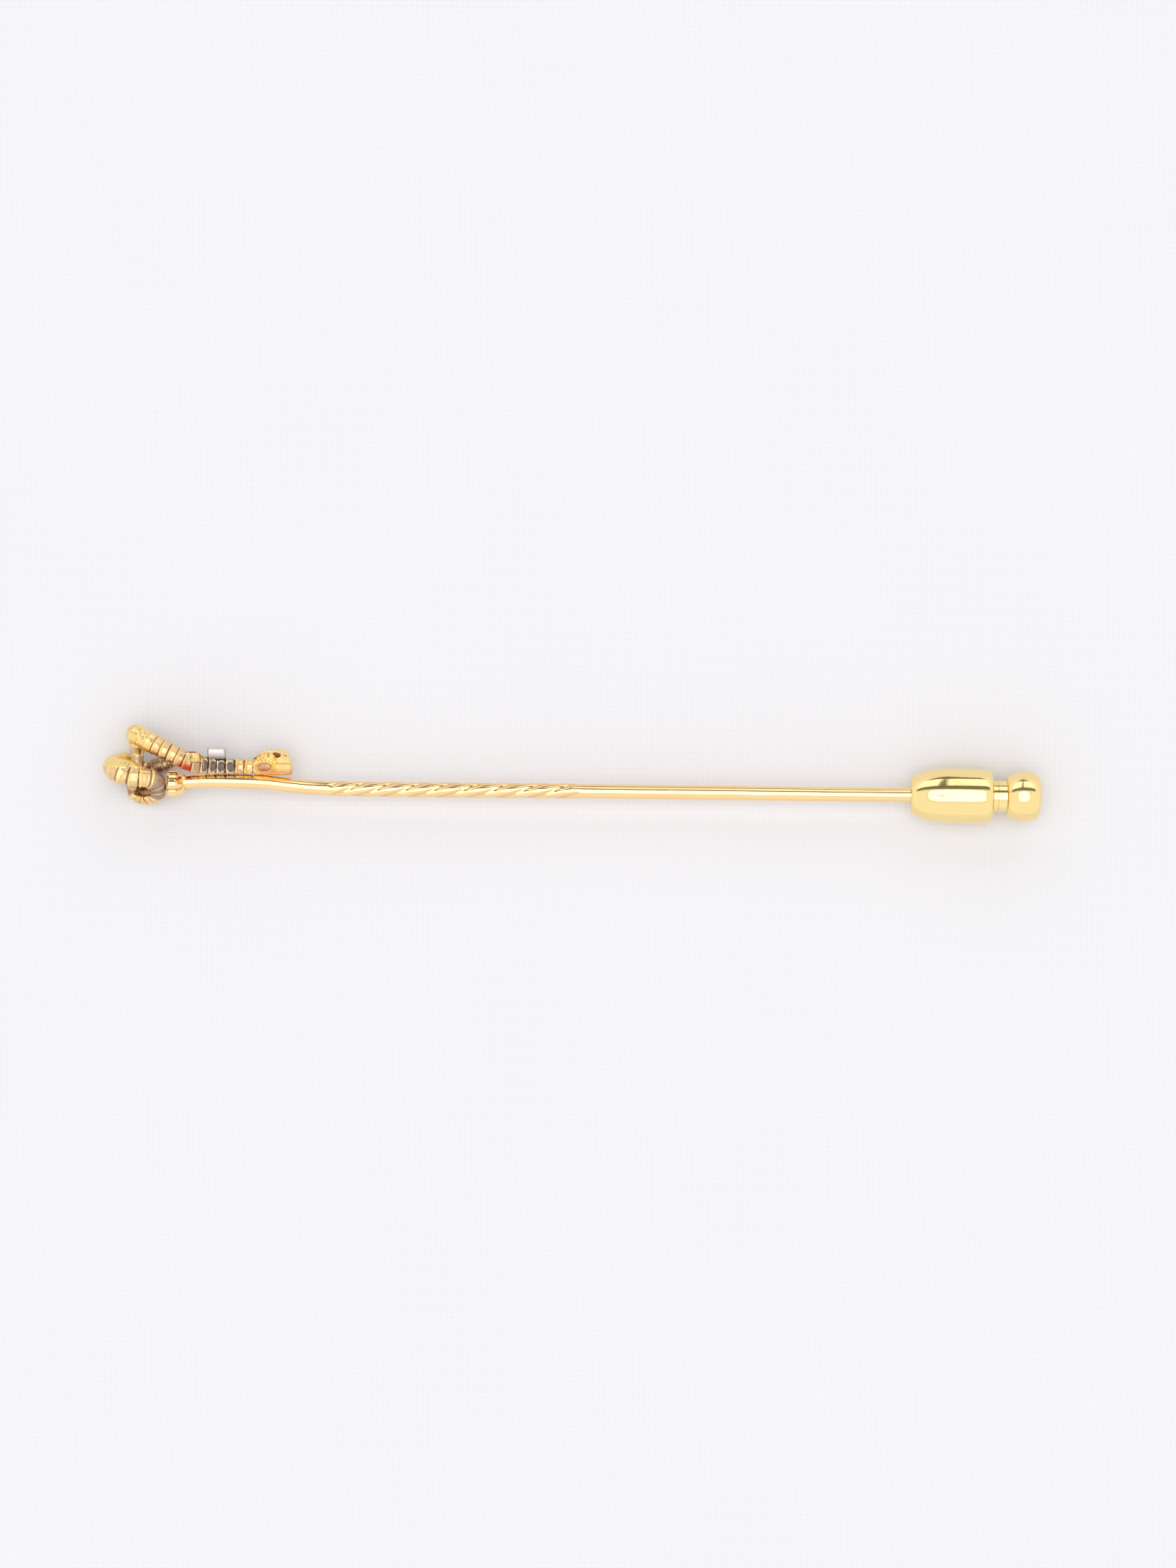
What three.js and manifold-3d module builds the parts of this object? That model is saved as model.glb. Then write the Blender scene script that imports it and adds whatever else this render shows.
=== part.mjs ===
// Stick pin: a coiled snake on a twisted stem, with a spring clutch that guards and grips its point.
// Millimetres. X runs along the stem from the snake to the clutch, Y towards the snake's front, Z up.
// The pin lies on its side, resting on its coil and on the clutch's barrel.
// While it is modelled, x = 0 is the coil's outer edge and y = z = 0 is the stem's own axis.
import * as THREE from "three";
import { mergeVertices } from "three/addons/utils/BufferGeometryUtils.js";
import Module from "manifold-3d";

const wasm = await Module();
wasm.setup();

// ---------------------------------------------------------------- driving dimensions

const OVERALL_LENGTH = 70;

// Clearances
const JOINT_GAP = 0.03; // left between two soldered or set pieces
const NECK_GAP = 0.07; // between neck and head, whose faces aren't quite parallel
const SLIDE_GAP = 0.05; // left round a piece that slides or turns
const TOUCH_GAP = 0.01; // left where two moving pieces bear on each other

// Stem: round wire, bowed towards the snake, fluted and twisted in the middle, pointed at the end
const STEM_DIAMETER = 1.08;
const STEM_BOW = 0.42;
const BOW_FLAT_END = 12; // x where the bow starts to fall
const BOW_END = 16.4; // x where the stem is back on its axis
const TWIST_LENGTH = 19.3;
const TWIST_FLUTES = 4;
const TWIST_TURNS = 2.25;
const FLUTE_DEPTH = 0.09;
const TWIST_FADE = 8; // the flutes reach their depth in this share of the twisted length, 1 in 8
const POINT_LENGTH = 4;
const POINT_DIAMETER = 0.16;
const POINT_GAP = 0.15; // from the point to the knob's blind end

// Foot: the lobed cap that joins the stem to the coil
const FOOT_LENGTH = 1;
const FOOT_DIAMETER = 2.16;
const FOOT_LOBES = 6;
const FOOT_LOBE_DEPTH = 0.14; // as a share of the radius
const FOOT_FLARE = 0.42; // how much of the radius is lost towards the stem
const BEAD_DIAMETER = 0.36; // solder bead in the corner of foot and stem

// Snake
const BODY_RADIUS = 0.79; // at its thickest, in the coil
const NECK_RADIUS = 0.57;
const TAIL_RADIUS = 0.2;
const RIGHT_TURN_SHARE = 0.9; // the body's radius beside the foot, as a share of the greatest
const COIL_OPENING = 3.25; // between the coil's left and right turns
const RIB_PITCH = 0.56;
const RIB_DEPTH = 0.06;
const NECK_END = 11.2; // x where the neck meets the head
const HEAD_LENGTH = 2.87;
const HEAD_HEIGHT = 1.9;
const HEAD_WIDTH = 2.1;
const HEAD_OFFSET_Z = 0.22;
const EYE_DIAMETER = 0.52;

// Silver sleeve round the body, and the stones set on its front
const SLEEVE_START = 7.5;
const SLEEVE_END = 9.85;
const SLEEVE_WALL = 0.2;
const RUBY_X = 6.65;
const RUBY_DIAMETER = 1.15;
const RUBY_RISE = -0.12; // its girdle, from the body's surface
const RUBY_CROWN = 0.14;
const DIAMOND_X = 8.5;
const DIAMOND_WIDTH = 1.06;
const DIAMOND_RISE = 0.4;
const DIAMOND_CROWN = 0.12;
const GIRDLE = 0.06;
const TABLE_SHARE = 0.62; // a stone's table, and the depth under its girdle, as a share of its radius
const COLLET_WALL = 0.13;
const COLLET_LIP = 0.1; // how far a setting stands above its stone's girdle
const COLLET_HEIGHT = 0.62;
const COLLET_SEAT = 0.45; // the hole under a stone, as a share of the setting's
const CLAW_DIAMETER = 0.2;
const CLAW_LENGTH = 0.3;

// Clutch: barrel, ball cage on a plunger, spring, retaining ring and knob
const BARREL_DIAMETER = 4.1;
const BARREL_LENGTH = 6.15;
const BARREL_WALL = 0.4;
const NOSE_RADIUS = 1.3;
const NOSE_WALL = 0.42;
const NOSE_CURVE = 3.1; // length over which the nose swells to the full diameter
const REAR_CORNER = 0.7;
const CONE_ANGLE = THREE.MathUtils.degToRad(18);
const BALL_DIAMETER = 0.7;
const BALL_COUNT = 3;
const BALL_X = 1.75; // from the nose
const CAGE_WALL = 0.26;
const FLANGE_THICKNESS = 0.3;
const SPRING_WIRE = 0.3;
const SPRING_ROOM = 0.09; // clearance inside and outside the spring
const SPRING_TURNS = 3;
const RING_THICKNESS = 0.4;
const LIP_THICKNESS = 0.3;
const NECK_SHOWN = 1; // bare neck between barrel and knob
const KNOB_LENGTH = 2.55;
const KNOB_DIAMETER = 3.7;
const KNOB_END_RADIUS = 0.95;
const KNOB_FLOOR = 0.9;

// Facets
const ROUND = 28;
const FRAME_STEPS = 600;

// ---------------------------------------------------------------- sizes that follow from them

const STEM_R = STEM_DIAMETER / 2;
const BARREL_R = BARREL_DIAMETER / 2;
const BALL_R = BALL_DIAMETER / 2;
const NOSE_X = OVERALL_LENGTH - KNOB_LENGTH - NECK_SHOWN - BARREL_LENGTH;
const CHAMBER_R = BARREL_R - BARREL_WALL;
const PLUNGER_NECK_R = CHAMBER_R - SPRING_WIRE - 2 * SPRING_ROOM;
const BORE_R = STEM_R + SLIDE_GAP;
const BALL_ORBIT = STEM_R + BALL_R + TOUCH_GAP;
const CONE_AT_BALL = BALL_ORBIT + (BALL_R + TOUCH_GAP) / Math.cos(CONE_ANGLE);
const CHAMBER_START = BALL_X + (CHAMBER_R - CONE_AT_BALL) / Math.tan(CONE_ANGLE);
const FLANGE_X = CHAMBER_START + SLIDE_GAP;
const RING_X = BARREL_LENGTH - LIP_THICKNESS - TOUCH_GAP - RING_THICKNESS;
const STEM_TOP = STEM_BOW + STEM_R; // the stem's front face behind the snake
const BODY_LIFT = STEM_TOP + 2 * JOINT_GAP; // the body's underside
const FOOT_X = 2 * BODY_RADIUS + COIL_OPENING;
const CLUTCH_LENGTH = BARREL_LENGTH + NECK_SHOWN + KNOB_LENGTH;
const SOCKET_FLOOR = CLUTCH_LENGTH - KNOB_FLOOR;

// ---------------------------------------------------------------- shape tools

const finish = {
  redGold: { color: 0xe8b887, roughness: 0.16, metalness: 1 },
  oldGold: { color: 0xd9a94e, roughness: 0.32, metalness: 1 },
  plate: { color: 0xe6c45c, roughness: 0.14, metalness: 1 },
  silver: { color: 0x7d7a74, roughness: 0.4, metalness: 1 },
  steel: { color: 0xb9bcc0, roughness: 0.2, metalness: 1 },
  ruby: { color: 0xb3122e, roughness: 0.05, metalness: 0 },
  diamond: { color: 0xe9efef, roughness: 0.03, metalness: 0 },
  garnet: { color: 0x3a1a10, roughness: 0.08, metalness: 0 },
};

const pin = new THREE.Group();

function add(name, geometry, material) {
  const mesh = new THREE.Mesh(geometry, new THREE.MeshStandardMaterial(finish[material]));
  mesh.name = name;
  pin.add(mesh);
  return mesh;
}

// A geometry as a manifold-3d solid.
function solid(geometry) {
  const bare = geometry.clone();
  bare.deleteAttribute("normal");
  bare.deleteAttribute("uv");
  const merged = mergeVertices(bare, 1e-4);
  return new wasm.Manifold(
    new wasm.Mesh({
      numProp: 3,
      vertProperties: merged.attributes.position.array,
      triVerts: new Uint32Array(merged.index.array),
    }),
  );
}

// A manifold-3d solid as a geometry.
function shape(made) {
  const mesh = made.getMesh();
  const geometry = new THREE.BufferGeometry();
  geometry.setAttribute("position", new THREE.BufferAttribute(mesh.vertProperties, 3));
  geometry.setIndex(new THREE.BufferAttribute(mesh.triVerts, 1));
  geometry.computeVertexNormals();
  return geometry;
}

// A profile drawn as (x, radius) and turned about the X axis.
function turned(profile, segments = ROUND, divisions = 5) {
  const points = profile.getPoints(divisions).map((p) => new THREE.Vector2(p.y, p.x));
  return new THREE.LatheGeometry(points, segments).rotateZ(-Math.PI / 2);
}

// The same, turned about an axis along Y that stands at (x, z); the profile's x is then its y.
function standing(profile, x, z, segments = ROUND, turn = 0) {
  const points = profile.getPoints(4).map((p) => new THREE.Vector2(p.y, p.x));
  return new THREE.LatheGeometry(points, segments, turn).translate(x, 0, z);
}

function outline(points) {
  const path = new THREE.Path();
  path.setFromPoints(points.map(([x, r]) => new THREE.Vector2(x, r)));
  return path;
}

// A closed tube with one ring at each station (0 to 1) of a curve.
// outlineAt(t, angle) gives a ring's distance from the curve, towards its normal and its binormal.
function tubeAlong(curve, stations, sides, outlineAt) {
  const tube = new THREE.CylinderGeometry(1, 1, 1, sides, stations.length - 1);
  const frames = curve.computeFrenetFrames(FRAME_STEPS);
  const position = tube.attributes.position;
  const place = new THREE.Vector3();
  for (let i = 0; i < position.count; i++) {
    const row = Math.round((position.getY(i) + 0.5) * (stations.length - 1));
    const t = stations[row];
    const frame = Math.round(t * FRAME_STEPS);
    const [x, z] = [position.getX(i), position.getZ(i)];
    const [along, across] = x === 0 && z === 0 ? [0, 0] : outlineAt(t, Math.atan2(z, x));
    curve.getPointAt(t, place);
    place.addScaledVector(frames.normals[frame], along);
    place.addScaledVector(frames.binormals[frame], -across);
    position.setXYZ(i, place.x, place.y, place.z);
  }
  return tube;
}

const circle = (radius, angle) => [radius * Math.cos(angle), radius * Math.sin(angle)];

// Evenly spaced values from start to end, both included.
function spaced(start, end, count) {
  return Array.from({ length: count + 1 }, (_, i) => start + ((end - start) * i) / count);
}

// ---------------------------------------------------------------- stem and foot

const POINT_X = NOSE_X + SOCKET_FLOOR - POINT_GAP;
const TWIST_START = BOW_END + 0.2;
const TWIST_END = TWIST_START + TWIST_LENGTH;

const stemCurve = new THREE.CatmullRomCurve3(
  [
    [FOOT_X + FOOT_LENGTH / 2, STEM_BOW * 0.55],
    [FOOT_X + FOOT_LENGTH + 1, STEM_BOW * 0.9],
    [(FOOT_X + BOW_FLAT_END) / 2 + 1, STEM_BOW],
    [BOW_FLAT_END, STEM_BOW * 0.85],
    [(BOW_FLAT_END + BOW_END) / 2, STEM_BOW * 0.34],
    [BOW_END, 0],
    [TWIST_END, 0],
    [POINT_X, 0],
  ].map(([x, y]) => new THREE.Vector3(x, y, 0)),
  false,
  "centripetal",
);

function stem(extra = 0) {
  const start = FOOT_X + FOOT_LENGTH / 2;
  const toStation = (x) => THREE.MathUtils.clamp((x - start) / (POINT_X - start), 0, 1);
  const twistRings = Math.round(TWIST_TURNS * 14);
  const stations = [
    ...spaced(0, toStation(BOW_END), 14),
    ...spaced(toStation(TWIST_START), toStation(TWIST_END), twistRings),
    toStation((TWIST_END + POINT_X) / 2),
    ...spaced(toStation(POINT_X - POINT_LENGTH), 1, 6),
  ];
  const outlineAt = (t, angle) => {
    const x = start + t * (POINT_X - start);
    const twisted = THREE.MathUtils.clamp((x - TWIST_START) / TWIST_LENGTH, 0, 1);
    const fade = Math.min(1, TWIST_FADE * twisted, TWIST_FADE * (1 - twisted));
    const turn = 2 * Math.PI * TWIST_TURNS * twisted;
    const flute = 0.5 - 0.5 * Math.cos(TWIST_FLUTES * (angle - turn));
    const toPoint = THREE.MathUtils.clamp((POINT_X - x) / POINT_LENGTH, 0, 1);
    const full = STEM_R - FLUTE_DEPTH * fade * flute;
    const radius = THREE.MathUtils.lerp(POINT_DIAMETER / 2, full, Math.sqrt(toPoint));
    return circle(radius + extra, angle);
  };
  return tubeAlong(stemCurve, stations, 16, outlineAt);
}

function foot() {
  const sides = FOOT_LOBES * 6;
  const centre = STEM_BOW * 0.45;
  const axis = new THREE.LineCurve3(
    new THREE.Vector3(FOOT_X, centre, 0),
    new THREE.Vector3(FOOT_X + FOOT_LENGTH, centre, 0),
  );
  return tubeAlong(axis, [0, 0.12, 0.6, 0.85, 1], sides, (t, angle) => {
    const lobe = Math.abs(Math.cos((FOOT_LOBES * angle) / 2));
    const edge = t === 0 ? 0.94 : 1 - FOOT_FLARE * t ** 4;
    return circle((FOOT_DIAMETER / 2) * edge * (1 - FOOT_LOBE_DEPTH * (1 - lobe)), angle);
  });
}

// The bead lies in the corner between the foot's back and the stem's front.
function solderBead() {
  const r = BEAD_DIAMETER / 2;
  const x = FOOT_X + FOOT_LENGTH + r + JOINT_GAP;
  const reach = STEM_R + r + JOINT_GAP;
  const lean = THREE.MathUtils.degToRad(65);
  const bead = new THREE.SphereGeometry(r, 10, 7);
  return bead.translate(x, STEM_BOW * 0.9 + reach * Math.cos(lean), reach * Math.sin(lean));
}

// ---------------------------------------------------------------- snake

// The height of a turn of a given share of the body's radius whose near or far side reaches as far
// out as the barrel's, so that the knot's lowest turns and the barrel rest on one plane.
const near = (share) => BARREL_R - share * BODY_RADIUS;
const far = (share) => -near(share);
const onStem = (share) => BODY_LIFT + share * BODY_RADIUS;
const NECK_SHARE = NECK_RADIUS / BODY_RADIUS;
const TAIL_SHARE = TAIL_RADIUS / BODY_RADIUS;
const RIGHT_TURN = FOOT_X - 2 * JOINT_GAP - RIGHT_TURN_SHARE * BODY_RADIUS;

// The body's line: x, y, z and the share of the body's radius. It is a knot: from the neck it rises
// over the stem to the top turn, drops through the ring that the tail makes, loops under and up
// past the foot, and makes the ring: its near arm, its left turn, its far arm, and the tail.
const bodyTurns = [
  [NECK_END, onStem(NECK_SHARE), HEAD_OFFSET_Z, NECK_SHARE],
  [9.8, onStem(0.74), 0.32, 0.74],
  [8.2, onStem(0.8), 0.5, 0.8],
  [6.6, 1.79, 0.9, 0.94],
  [5.3, 2.38, 1.02, 0.96],
  [4.1, 2.97, 0.9, 0.99],
  [3.15, 3.46, 0.6, 1],
  [2.45, 3.84, 0.15, 0.99],
  [2.4, 3.75, -0.4, 0.89],
  [2.5, 2.9, -0.5, 0.71],
  [2.52, 2.05, -0.2, 0.63],
  [2.45, 1.1, -0.1, 0.61],
  [2.25, 0.25, -0.45, 0.63],
  [2.2, -0.4, -1, 0.71],
  [2.7, -0.77, far(0.79), 0.79],
  [3.45, -0.77, -1.05, 0.81],
  [RIGHT_TURN - 0.06, -0.5, -0.3, 0.86],
  [RIGHT_TURN, 0.05, 0.4, RIGHT_TURN_SHARE],
  [3.85, 0.45, 0.95, 0.97],
  [3.2, 0.6, near(1), 1],
  [2.2, 0.68, near(1), 1],
  [1.3, 0.93, 0.97, 1],
  [BODY_RADIUS, 1.25, 0.2, 1],
  [0.9, 1.52, -0.55, 1],
  [1.45, 1.68, -1.1, 0.99],
  [2.3, 1.42, far(0.97), 0.97],
  [3.3, 1.1, far(0.88), 0.88],
  [4.05, 1.45, -1.1, 0.86],
  [4.8, 1.72, -0.85, 0.66],
  [5.5, 1.8, -0.5, TAIL_SHARE],
];
const NEAR_ARM = 19; // the turn where the near arm starts
const SPLICE = 0.015; // share of the body's length where its two lengths lie in each other
const CURVE_STEPS = 1000;

function bodyLine(turns) {
  const points = turns.map(([x, y, z]) => new THREE.Vector3(x, y, z));
  const curve = new THREE.CatmullRomCurve3(points, false, "centripetal");
  curve.arcLengthDivisions = CURVE_STEPS;
  const lengths = curve.getLengths();
  const total = lengths[CURVE_STEPS];
  const shareOf = (turn) => lengths[Math.round((turn / (turns.length - 1)) * CURVE_STEPS)] / total;
  const shares = turns.map((_, turn) => shareOf(turn));
  const radiusAt = (t) => {
    const i = Math.max(1, shares.findIndex((share) => share >= t));
    const share = THREE.MathUtils.mapLinear(t, shares[i - 1], shares[i], turns[i - 1][3], turns[i][3]);
    return BODY_RADIUS * share;
  };
  return { curve, radiusAt, total, split: shares[NEAR_ARM] };
}

const line = bodyLine(bodyTurns);

// A length of ribbed body, with a ring of points on each ridge and in each groove.
function ribbed(start, end, share) {
  const ribs = Math.round(((end - start) * line.total) / RIB_PITCH);
  return tubeAlong(line.curve, spaced(start, end, 2 * ribs), 12, (t, angle) => {
    const ring = Math.round(((t - start) / (end - start)) * 2 * ribs);
    const groove = ring % 2 === 0 ? RIB_DEPTH : 0;
    return circle(share * (line.radiusAt(t) - groove), angle);
  });
}

// Where the body stands at a given x, between the neck and the top turn.
function bodyAt(x) {
  let low = 0;
  let high = 0.25;
  for (let i = 0; i < 30; i++) {
    const middle = (low + high) / 2;
    if (line.curve.getPointAt(middle).x > x) low = middle;
    else high = middle;
  }
  return { t: low, point: line.curve.getPointAt(low), radius: line.radiusAt(low) };
}

const sleeveEnd = bodyAt(SLEEVE_END);
const sleeveStart = bodyAt(SLEEVE_START);

// The sleeve's length of body, longer by extra at each end and thinner by less.
function alongSleeve(extra, less) {
  const reach = extra / line.total;
  const stations = spaced(sleeveEnd.t - reach, sleeveStart.t + reach, 6);
  return tubeAlong(line.curve, stations, 14, (t, angle) => circle(line.radiusAt(t) - less, angle));
}

function sleeve() {
  return solid(alongSleeve(0, 0)).subtract(solid(alongSleeve(0.2, SLEEVE_WALL)));
}

// The body crosses itself, so it is made in two lengths and joined.
function body() {
  const whole = solid(ribbed(0, line.split, 1)).add(solid(ribbed(line.split - SPLICE, 1, 0.98)));
  const waist = solid(alongSleeve(JOINT_GAP, -0.3));
  const core = solid(alongSleeve(JOINT_GAP + 0.1, SLEEVE_WALL + JOINT_GAP));
  return whole.subtract(waist.subtract(core));
}

function head() {
  const base = BODY_LIFT - JOINT_GAP;
  const start = NECK_END + NECK_GAP;
  const axis = new THREE.LineCurve3(
    new THREE.Vector3(start, base + HEAD_HEIGHT / 2, HEAD_OFFSET_Z),
    new THREE.Vector3(start + HEAD_LENGTH, base + HEAD_HEIGHT / 2, HEAD_OFFSET_Z),
  );
  // Half height and half width along the head, as shares of the greatest.
  const stations = [0, 0.08, 0.22, 0.4, 0.58, 0.72, 0.84, 0.92, 0.975, 1];
  const rise = [0.62, 0.7, 0.86, 0.97, 1, 1, 0.93, 0.78, 0.5, 0.24];
  const spread = [0.54, 0.66, 0.9, 1, 0.98, 0.9, 0.8, 0.67, 0.43, 0.22];
  return tubeAlong(axis, stations, 16, (t, angle) => {
    const i = stations.indexOf(t);
    const [z, y] = circle(1, angle);
    const drop = (1 - rise[i]) * (HEAD_HEIGHT / 2) * (i > 5 ? 0.35 : 1);
    return [(z * HEAD_WIDTH * spread[i]) / 2, (y * HEAD_HEIGHT * rise[i]) / 2 + drop];
  });
}

// ---------------------------------------------------------------- stones and settings

function cutStone(x, seat, z, diameter, crown, segments, turn) {
  const r = diameter / 2;
  return standing(
    outline([
      [seat - TABLE_SHARE * r, 0],
      [seat, r],
      [seat + GIRDLE, r],
      [seat + GIRDLE + crown, TABLE_SHARE * r],
      [seat + GIRDLE + crown, 0],
    ]),
    x,
    z,
    segments,
    turn,
  );
}

// A ring-shaped setting that stands round a stone's girdle; its hole narrows under the stone.
function collet(x, seat, z, diameter, segments, turn) {
  const inner = diameter / 2 + JOINT_GAP;
  const outer = inner + COLLET_WALL;
  const top = seat + COLLET_LIP;
  const bottom = top - COLLET_HEIGHT;
  return standing(
    outline([
      [bottom, COLLET_SEAT * inner],
      [bottom, outer - COLLET_WALL / 2],
      [top, outer],
      [top, inner],
      [seat - 2 * JOINT_GAP, inner],
      [bottom, COLLET_SEAT * inner],
    ]),
    x,
    z,
    segments,
    turn,
  );
}

const rubyPlace = bodyAt(RUBY_X);
const rubySeat = rubyPlace.point.y + rubyPlace.radius + RUBY_RISE;
const diamondPlace = bodyAt(DIAMOND_X);
const diamondSeat = diamondPlace.point.y + diamondPlace.radius + DIAMOND_RISE;
const squareTurn = Math.PI / 4;

// A cylinder about an axis along Y, used to open a seat for a setting.
function seatCut(place, radius, floor, segments, turn) {
  const top = place.point.y + 2;
  return solid(
    standing(
      outline([
        [floor, 0],
        [floor, radius],
        [top, radius],
        [top, 0],
      ]),
      place.point.x,
      place.point.z,
      segments,
      turn,
    ),
  );
}

const rubyReach = RUBY_DIAMETER / 2 + COLLET_WALL + 2 * JOINT_GAP;
const diamondReach = DIAMOND_WIDTH / Math.SQRT2 + COLLET_WALL * Math.SQRT2 + 3 * JOINT_GAP;
const rubyFloor = rubySeat + COLLET_LIP - COLLET_HEIGHT - JOINT_GAP;
const diamondFloor = diamondSeat + COLLET_LIP - COLLET_HEIGHT - JOINT_GAP;
const rubyCut = seatCut(rubyPlace, rubyReach, rubyFloor, 20, 0);
const diamondCut = seatCut(diamondPlace, diamondReach, diamondFloor, 4, squareTurn);

function diamondSetting() {
  const { x, z } = diamondPlace.point;
  let made = solid(
    collet(x, diamondSeat, z, DIAMOND_WIDTH * Math.SQRT2, 4, squareTurn),
  );
  const reach = DIAMOND_WIDTH / 2 + JOINT_GAP + COLLET_WALL / 2 + CLAW_DIAMETER / 4;
  for (const [sx, sz] of [[1, 1], [1, -1], [-1, -1], [-1, 1]]) {
    const claw = new THREE.CylinderGeometry(CLAW_DIAMETER / 2, CLAW_DIAMETER / 2, CLAW_LENGTH, 8);
    claw.translate(x + sx * reach, diamondSeat + 0.02, z + sz * reach);
    made = made.add(solid(claw));
  }
  return made;
}

function eye(side) {
  const x = NECK_END + HEAD_LENGTH * 0.66;
  const y = BODY_LIFT + HEAD_HEIGHT * 0.76;
  const z = HEAD_OFFSET_Z + side * HEAD_WIDTH * 0.36;
  return { x, y, z };
}

function eyeBall(side, radius) {
  const { x, y, z } = eye(side);
  return new THREE.SphereGeometry(radius, 12, 8).translate(x, y, z);
}

// ---------------------------------------------------------------- clutch, placed from its nose

function barrel() {
  const lipR = PLUNGER_NECK_R + 2 * SLIDE_GAP;
  const lipX = BARREL_LENGTH - LIP_THICKNESS;
  const coneStart = CONE_AT_BALL - (BALL_X - NOSE_WALL) * Math.tan(CONE_ANGLE);
  const profile = new THREE.Path();
  profile.moveTo(0, BORE_R);
  profile.lineTo(0, NOSE_RADIUS);
  profile.bezierCurveTo(0.3, 1.72, 1.5, BARREL_R, NOSE_CURVE, BARREL_R);
  profile.lineTo(BARREL_LENGTH - REAR_CORNER, BARREL_R);
  profile.absarc(BARREL_LENGTH - REAR_CORNER, BARREL_R - REAR_CORNER, REAR_CORNER, Math.PI / 2, 0, true);
  profile.lineTo(BARREL_LENGTH, lipR);
  profile.lineTo(lipX, lipR);
  profile.lineTo(lipX, CHAMBER_R);
  profile.lineTo(CHAMBER_START, CHAMBER_R);
  profile.lineTo(NOSE_WALL, coneStart);
  profile.lineTo(NOSE_WALL, BORE_R);
  profile.lineTo(0, BORE_R);
  return turned(profile);
}

function retainingRing() {
  const hole = PLUNGER_NECK_R + SLIDE_GAP;
  const rim = CHAMBER_R - JOINT_GAP;
  return turned(
    outline([
      [RING_X, hole],
      [RING_X, rim],
      [RING_X + RING_THICKNESS, rim],
      [RING_X + RING_THICKNESS, hole],
      [RING_X, hole],
    ]),
  );
}

function plunger() {
  const cageX = NOSE_WALL + 0.33;
  const cageR = BORE_R + CAGE_WALL;
  const flangeR = CHAMBER_R - SLIDE_GAP;
  const end = SOCKET_FLOOR - JOINT_GAP;
  let made = solid(
    turned(
      outline([
        [cageX, BORE_R],
        [cageX, cageR - 0.04],
        [cageX + 0.06, cageR],
        [FLANGE_X, cageR],
        [FLANGE_X, flangeR],
        [FLANGE_X + FLANGE_THICKNESS, flangeR],
        [FLANGE_X + FLANGE_THICKNESS, PLUNGER_NECK_R],
        [end, PLUNGER_NECK_R],
        [end, BORE_R],
        [cageX, BORE_R],
      ]),
      24,
    ),
  );
  for (const [y, z] of ballDirections) {
    const hole = new THREE.CylinderGeometry(BALL_R + TOUCH_GAP * 2, BALL_R + TOUCH_GAP * 2, 1.2, 12);
    hole.translate(0, 0.6 + BORE_R / 2, 0);
    hole.rotateX(Math.atan2(z, y));
    hole.translate(BALL_X, 0, 0);
    made = made.subtract(solid(hole));
  }
  return shape(made);
}

const ballDirections = spaced(0, 2 * Math.PI, BALL_COUNT)
  .slice(0, BALL_COUNT)
  .map((angle) => [Math.cos(angle), Math.sin(angle)]);

function ball([y, z]) {
  const geometry = new THREE.SphereGeometry(BALL_R, 12, 8);
  return geometry.translate(BALL_X, y * BALL_ORBIT, z * BALL_ORBIT);
}

class Helix extends THREE.Curve {
  constructor(start, end, radius, turns) {
    super();
    Object.assign(this, { start, end, radius, turns });
  }
  getPoint(t, target = new THREE.Vector3()) {
    const angle = 2 * Math.PI * this.turns * t;
    const x = THREE.MathUtils.lerp(this.start, this.end, t);
    return target.set(x, this.radius * Math.cos(angle), this.radius * Math.sin(angle));
  }
}

function spring() {
  const wireR = SPRING_WIRE / 2;
  const room = wireR + 2 * TOUCH_GAP;
  const extrudePath = new Helix(
    FLANGE_X + FLANGE_THICKNESS + room,
    RING_X - room,
    PLUNGER_NECK_R + SPRING_ROOM + wireR,
    SPRING_TURNS,
  );
  const section = new THREE.Shape();
  section.absarc(0, 0, wireR, 0, 2 * Math.PI);
  const steps = Math.round(SPRING_TURNS * 14);
  return new THREE.ExtrudeGeometry(section, { extrudePath, steps, curveSegments: 8, bevelEnabled: false });
}

function knob() {
  const mouth = BARREL_LENGTH + NECK_SHOWN;
  const socket = PLUNGER_NECK_R + JOINT_GAP;
  const r = KNOB_DIAMETER / 2;
  const front = mouth + 0.45 * KNOB_LENGTH;
  const profile = new THREE.Path();
  profile.moveTo(SOCKET_FLOOR, 0);
  profile.lineTo(SOCKET_FLOOR, socket);
  profile.lineTo(mouth, socket);
  profile.lineTo(mouth, socket + 0.16);
  profile.bezierCurveTo(mouth + 0.2, socket + 0.5, mouth + 0.55, r, front, r);
  profile.bezierCurveTo(front + 0.7, r, CLUTCH_LENGTH, 0.86 * r, CLUTCH_LENGTH, KNOB_END_RADIUS);
  profile.lineTo(CLUTCH_LENGTH, 0);
  return turned(profile);
}

// ---------------------------------------------------------------- assembly

const snakeBody = body().subtract(rubyCut).subtract(diamondCut);
const silverSleeve = sleeve().subtract(diamondCut);
const skull = solid(head());
const sockets = solid(eyeBall(1, EYE_DIAMETER / 2 + JOINT_GAP)).add(
  solid(eyeBall(-1, EYE_DIAMETER / 2 + JOINT_GAP)),
);

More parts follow.
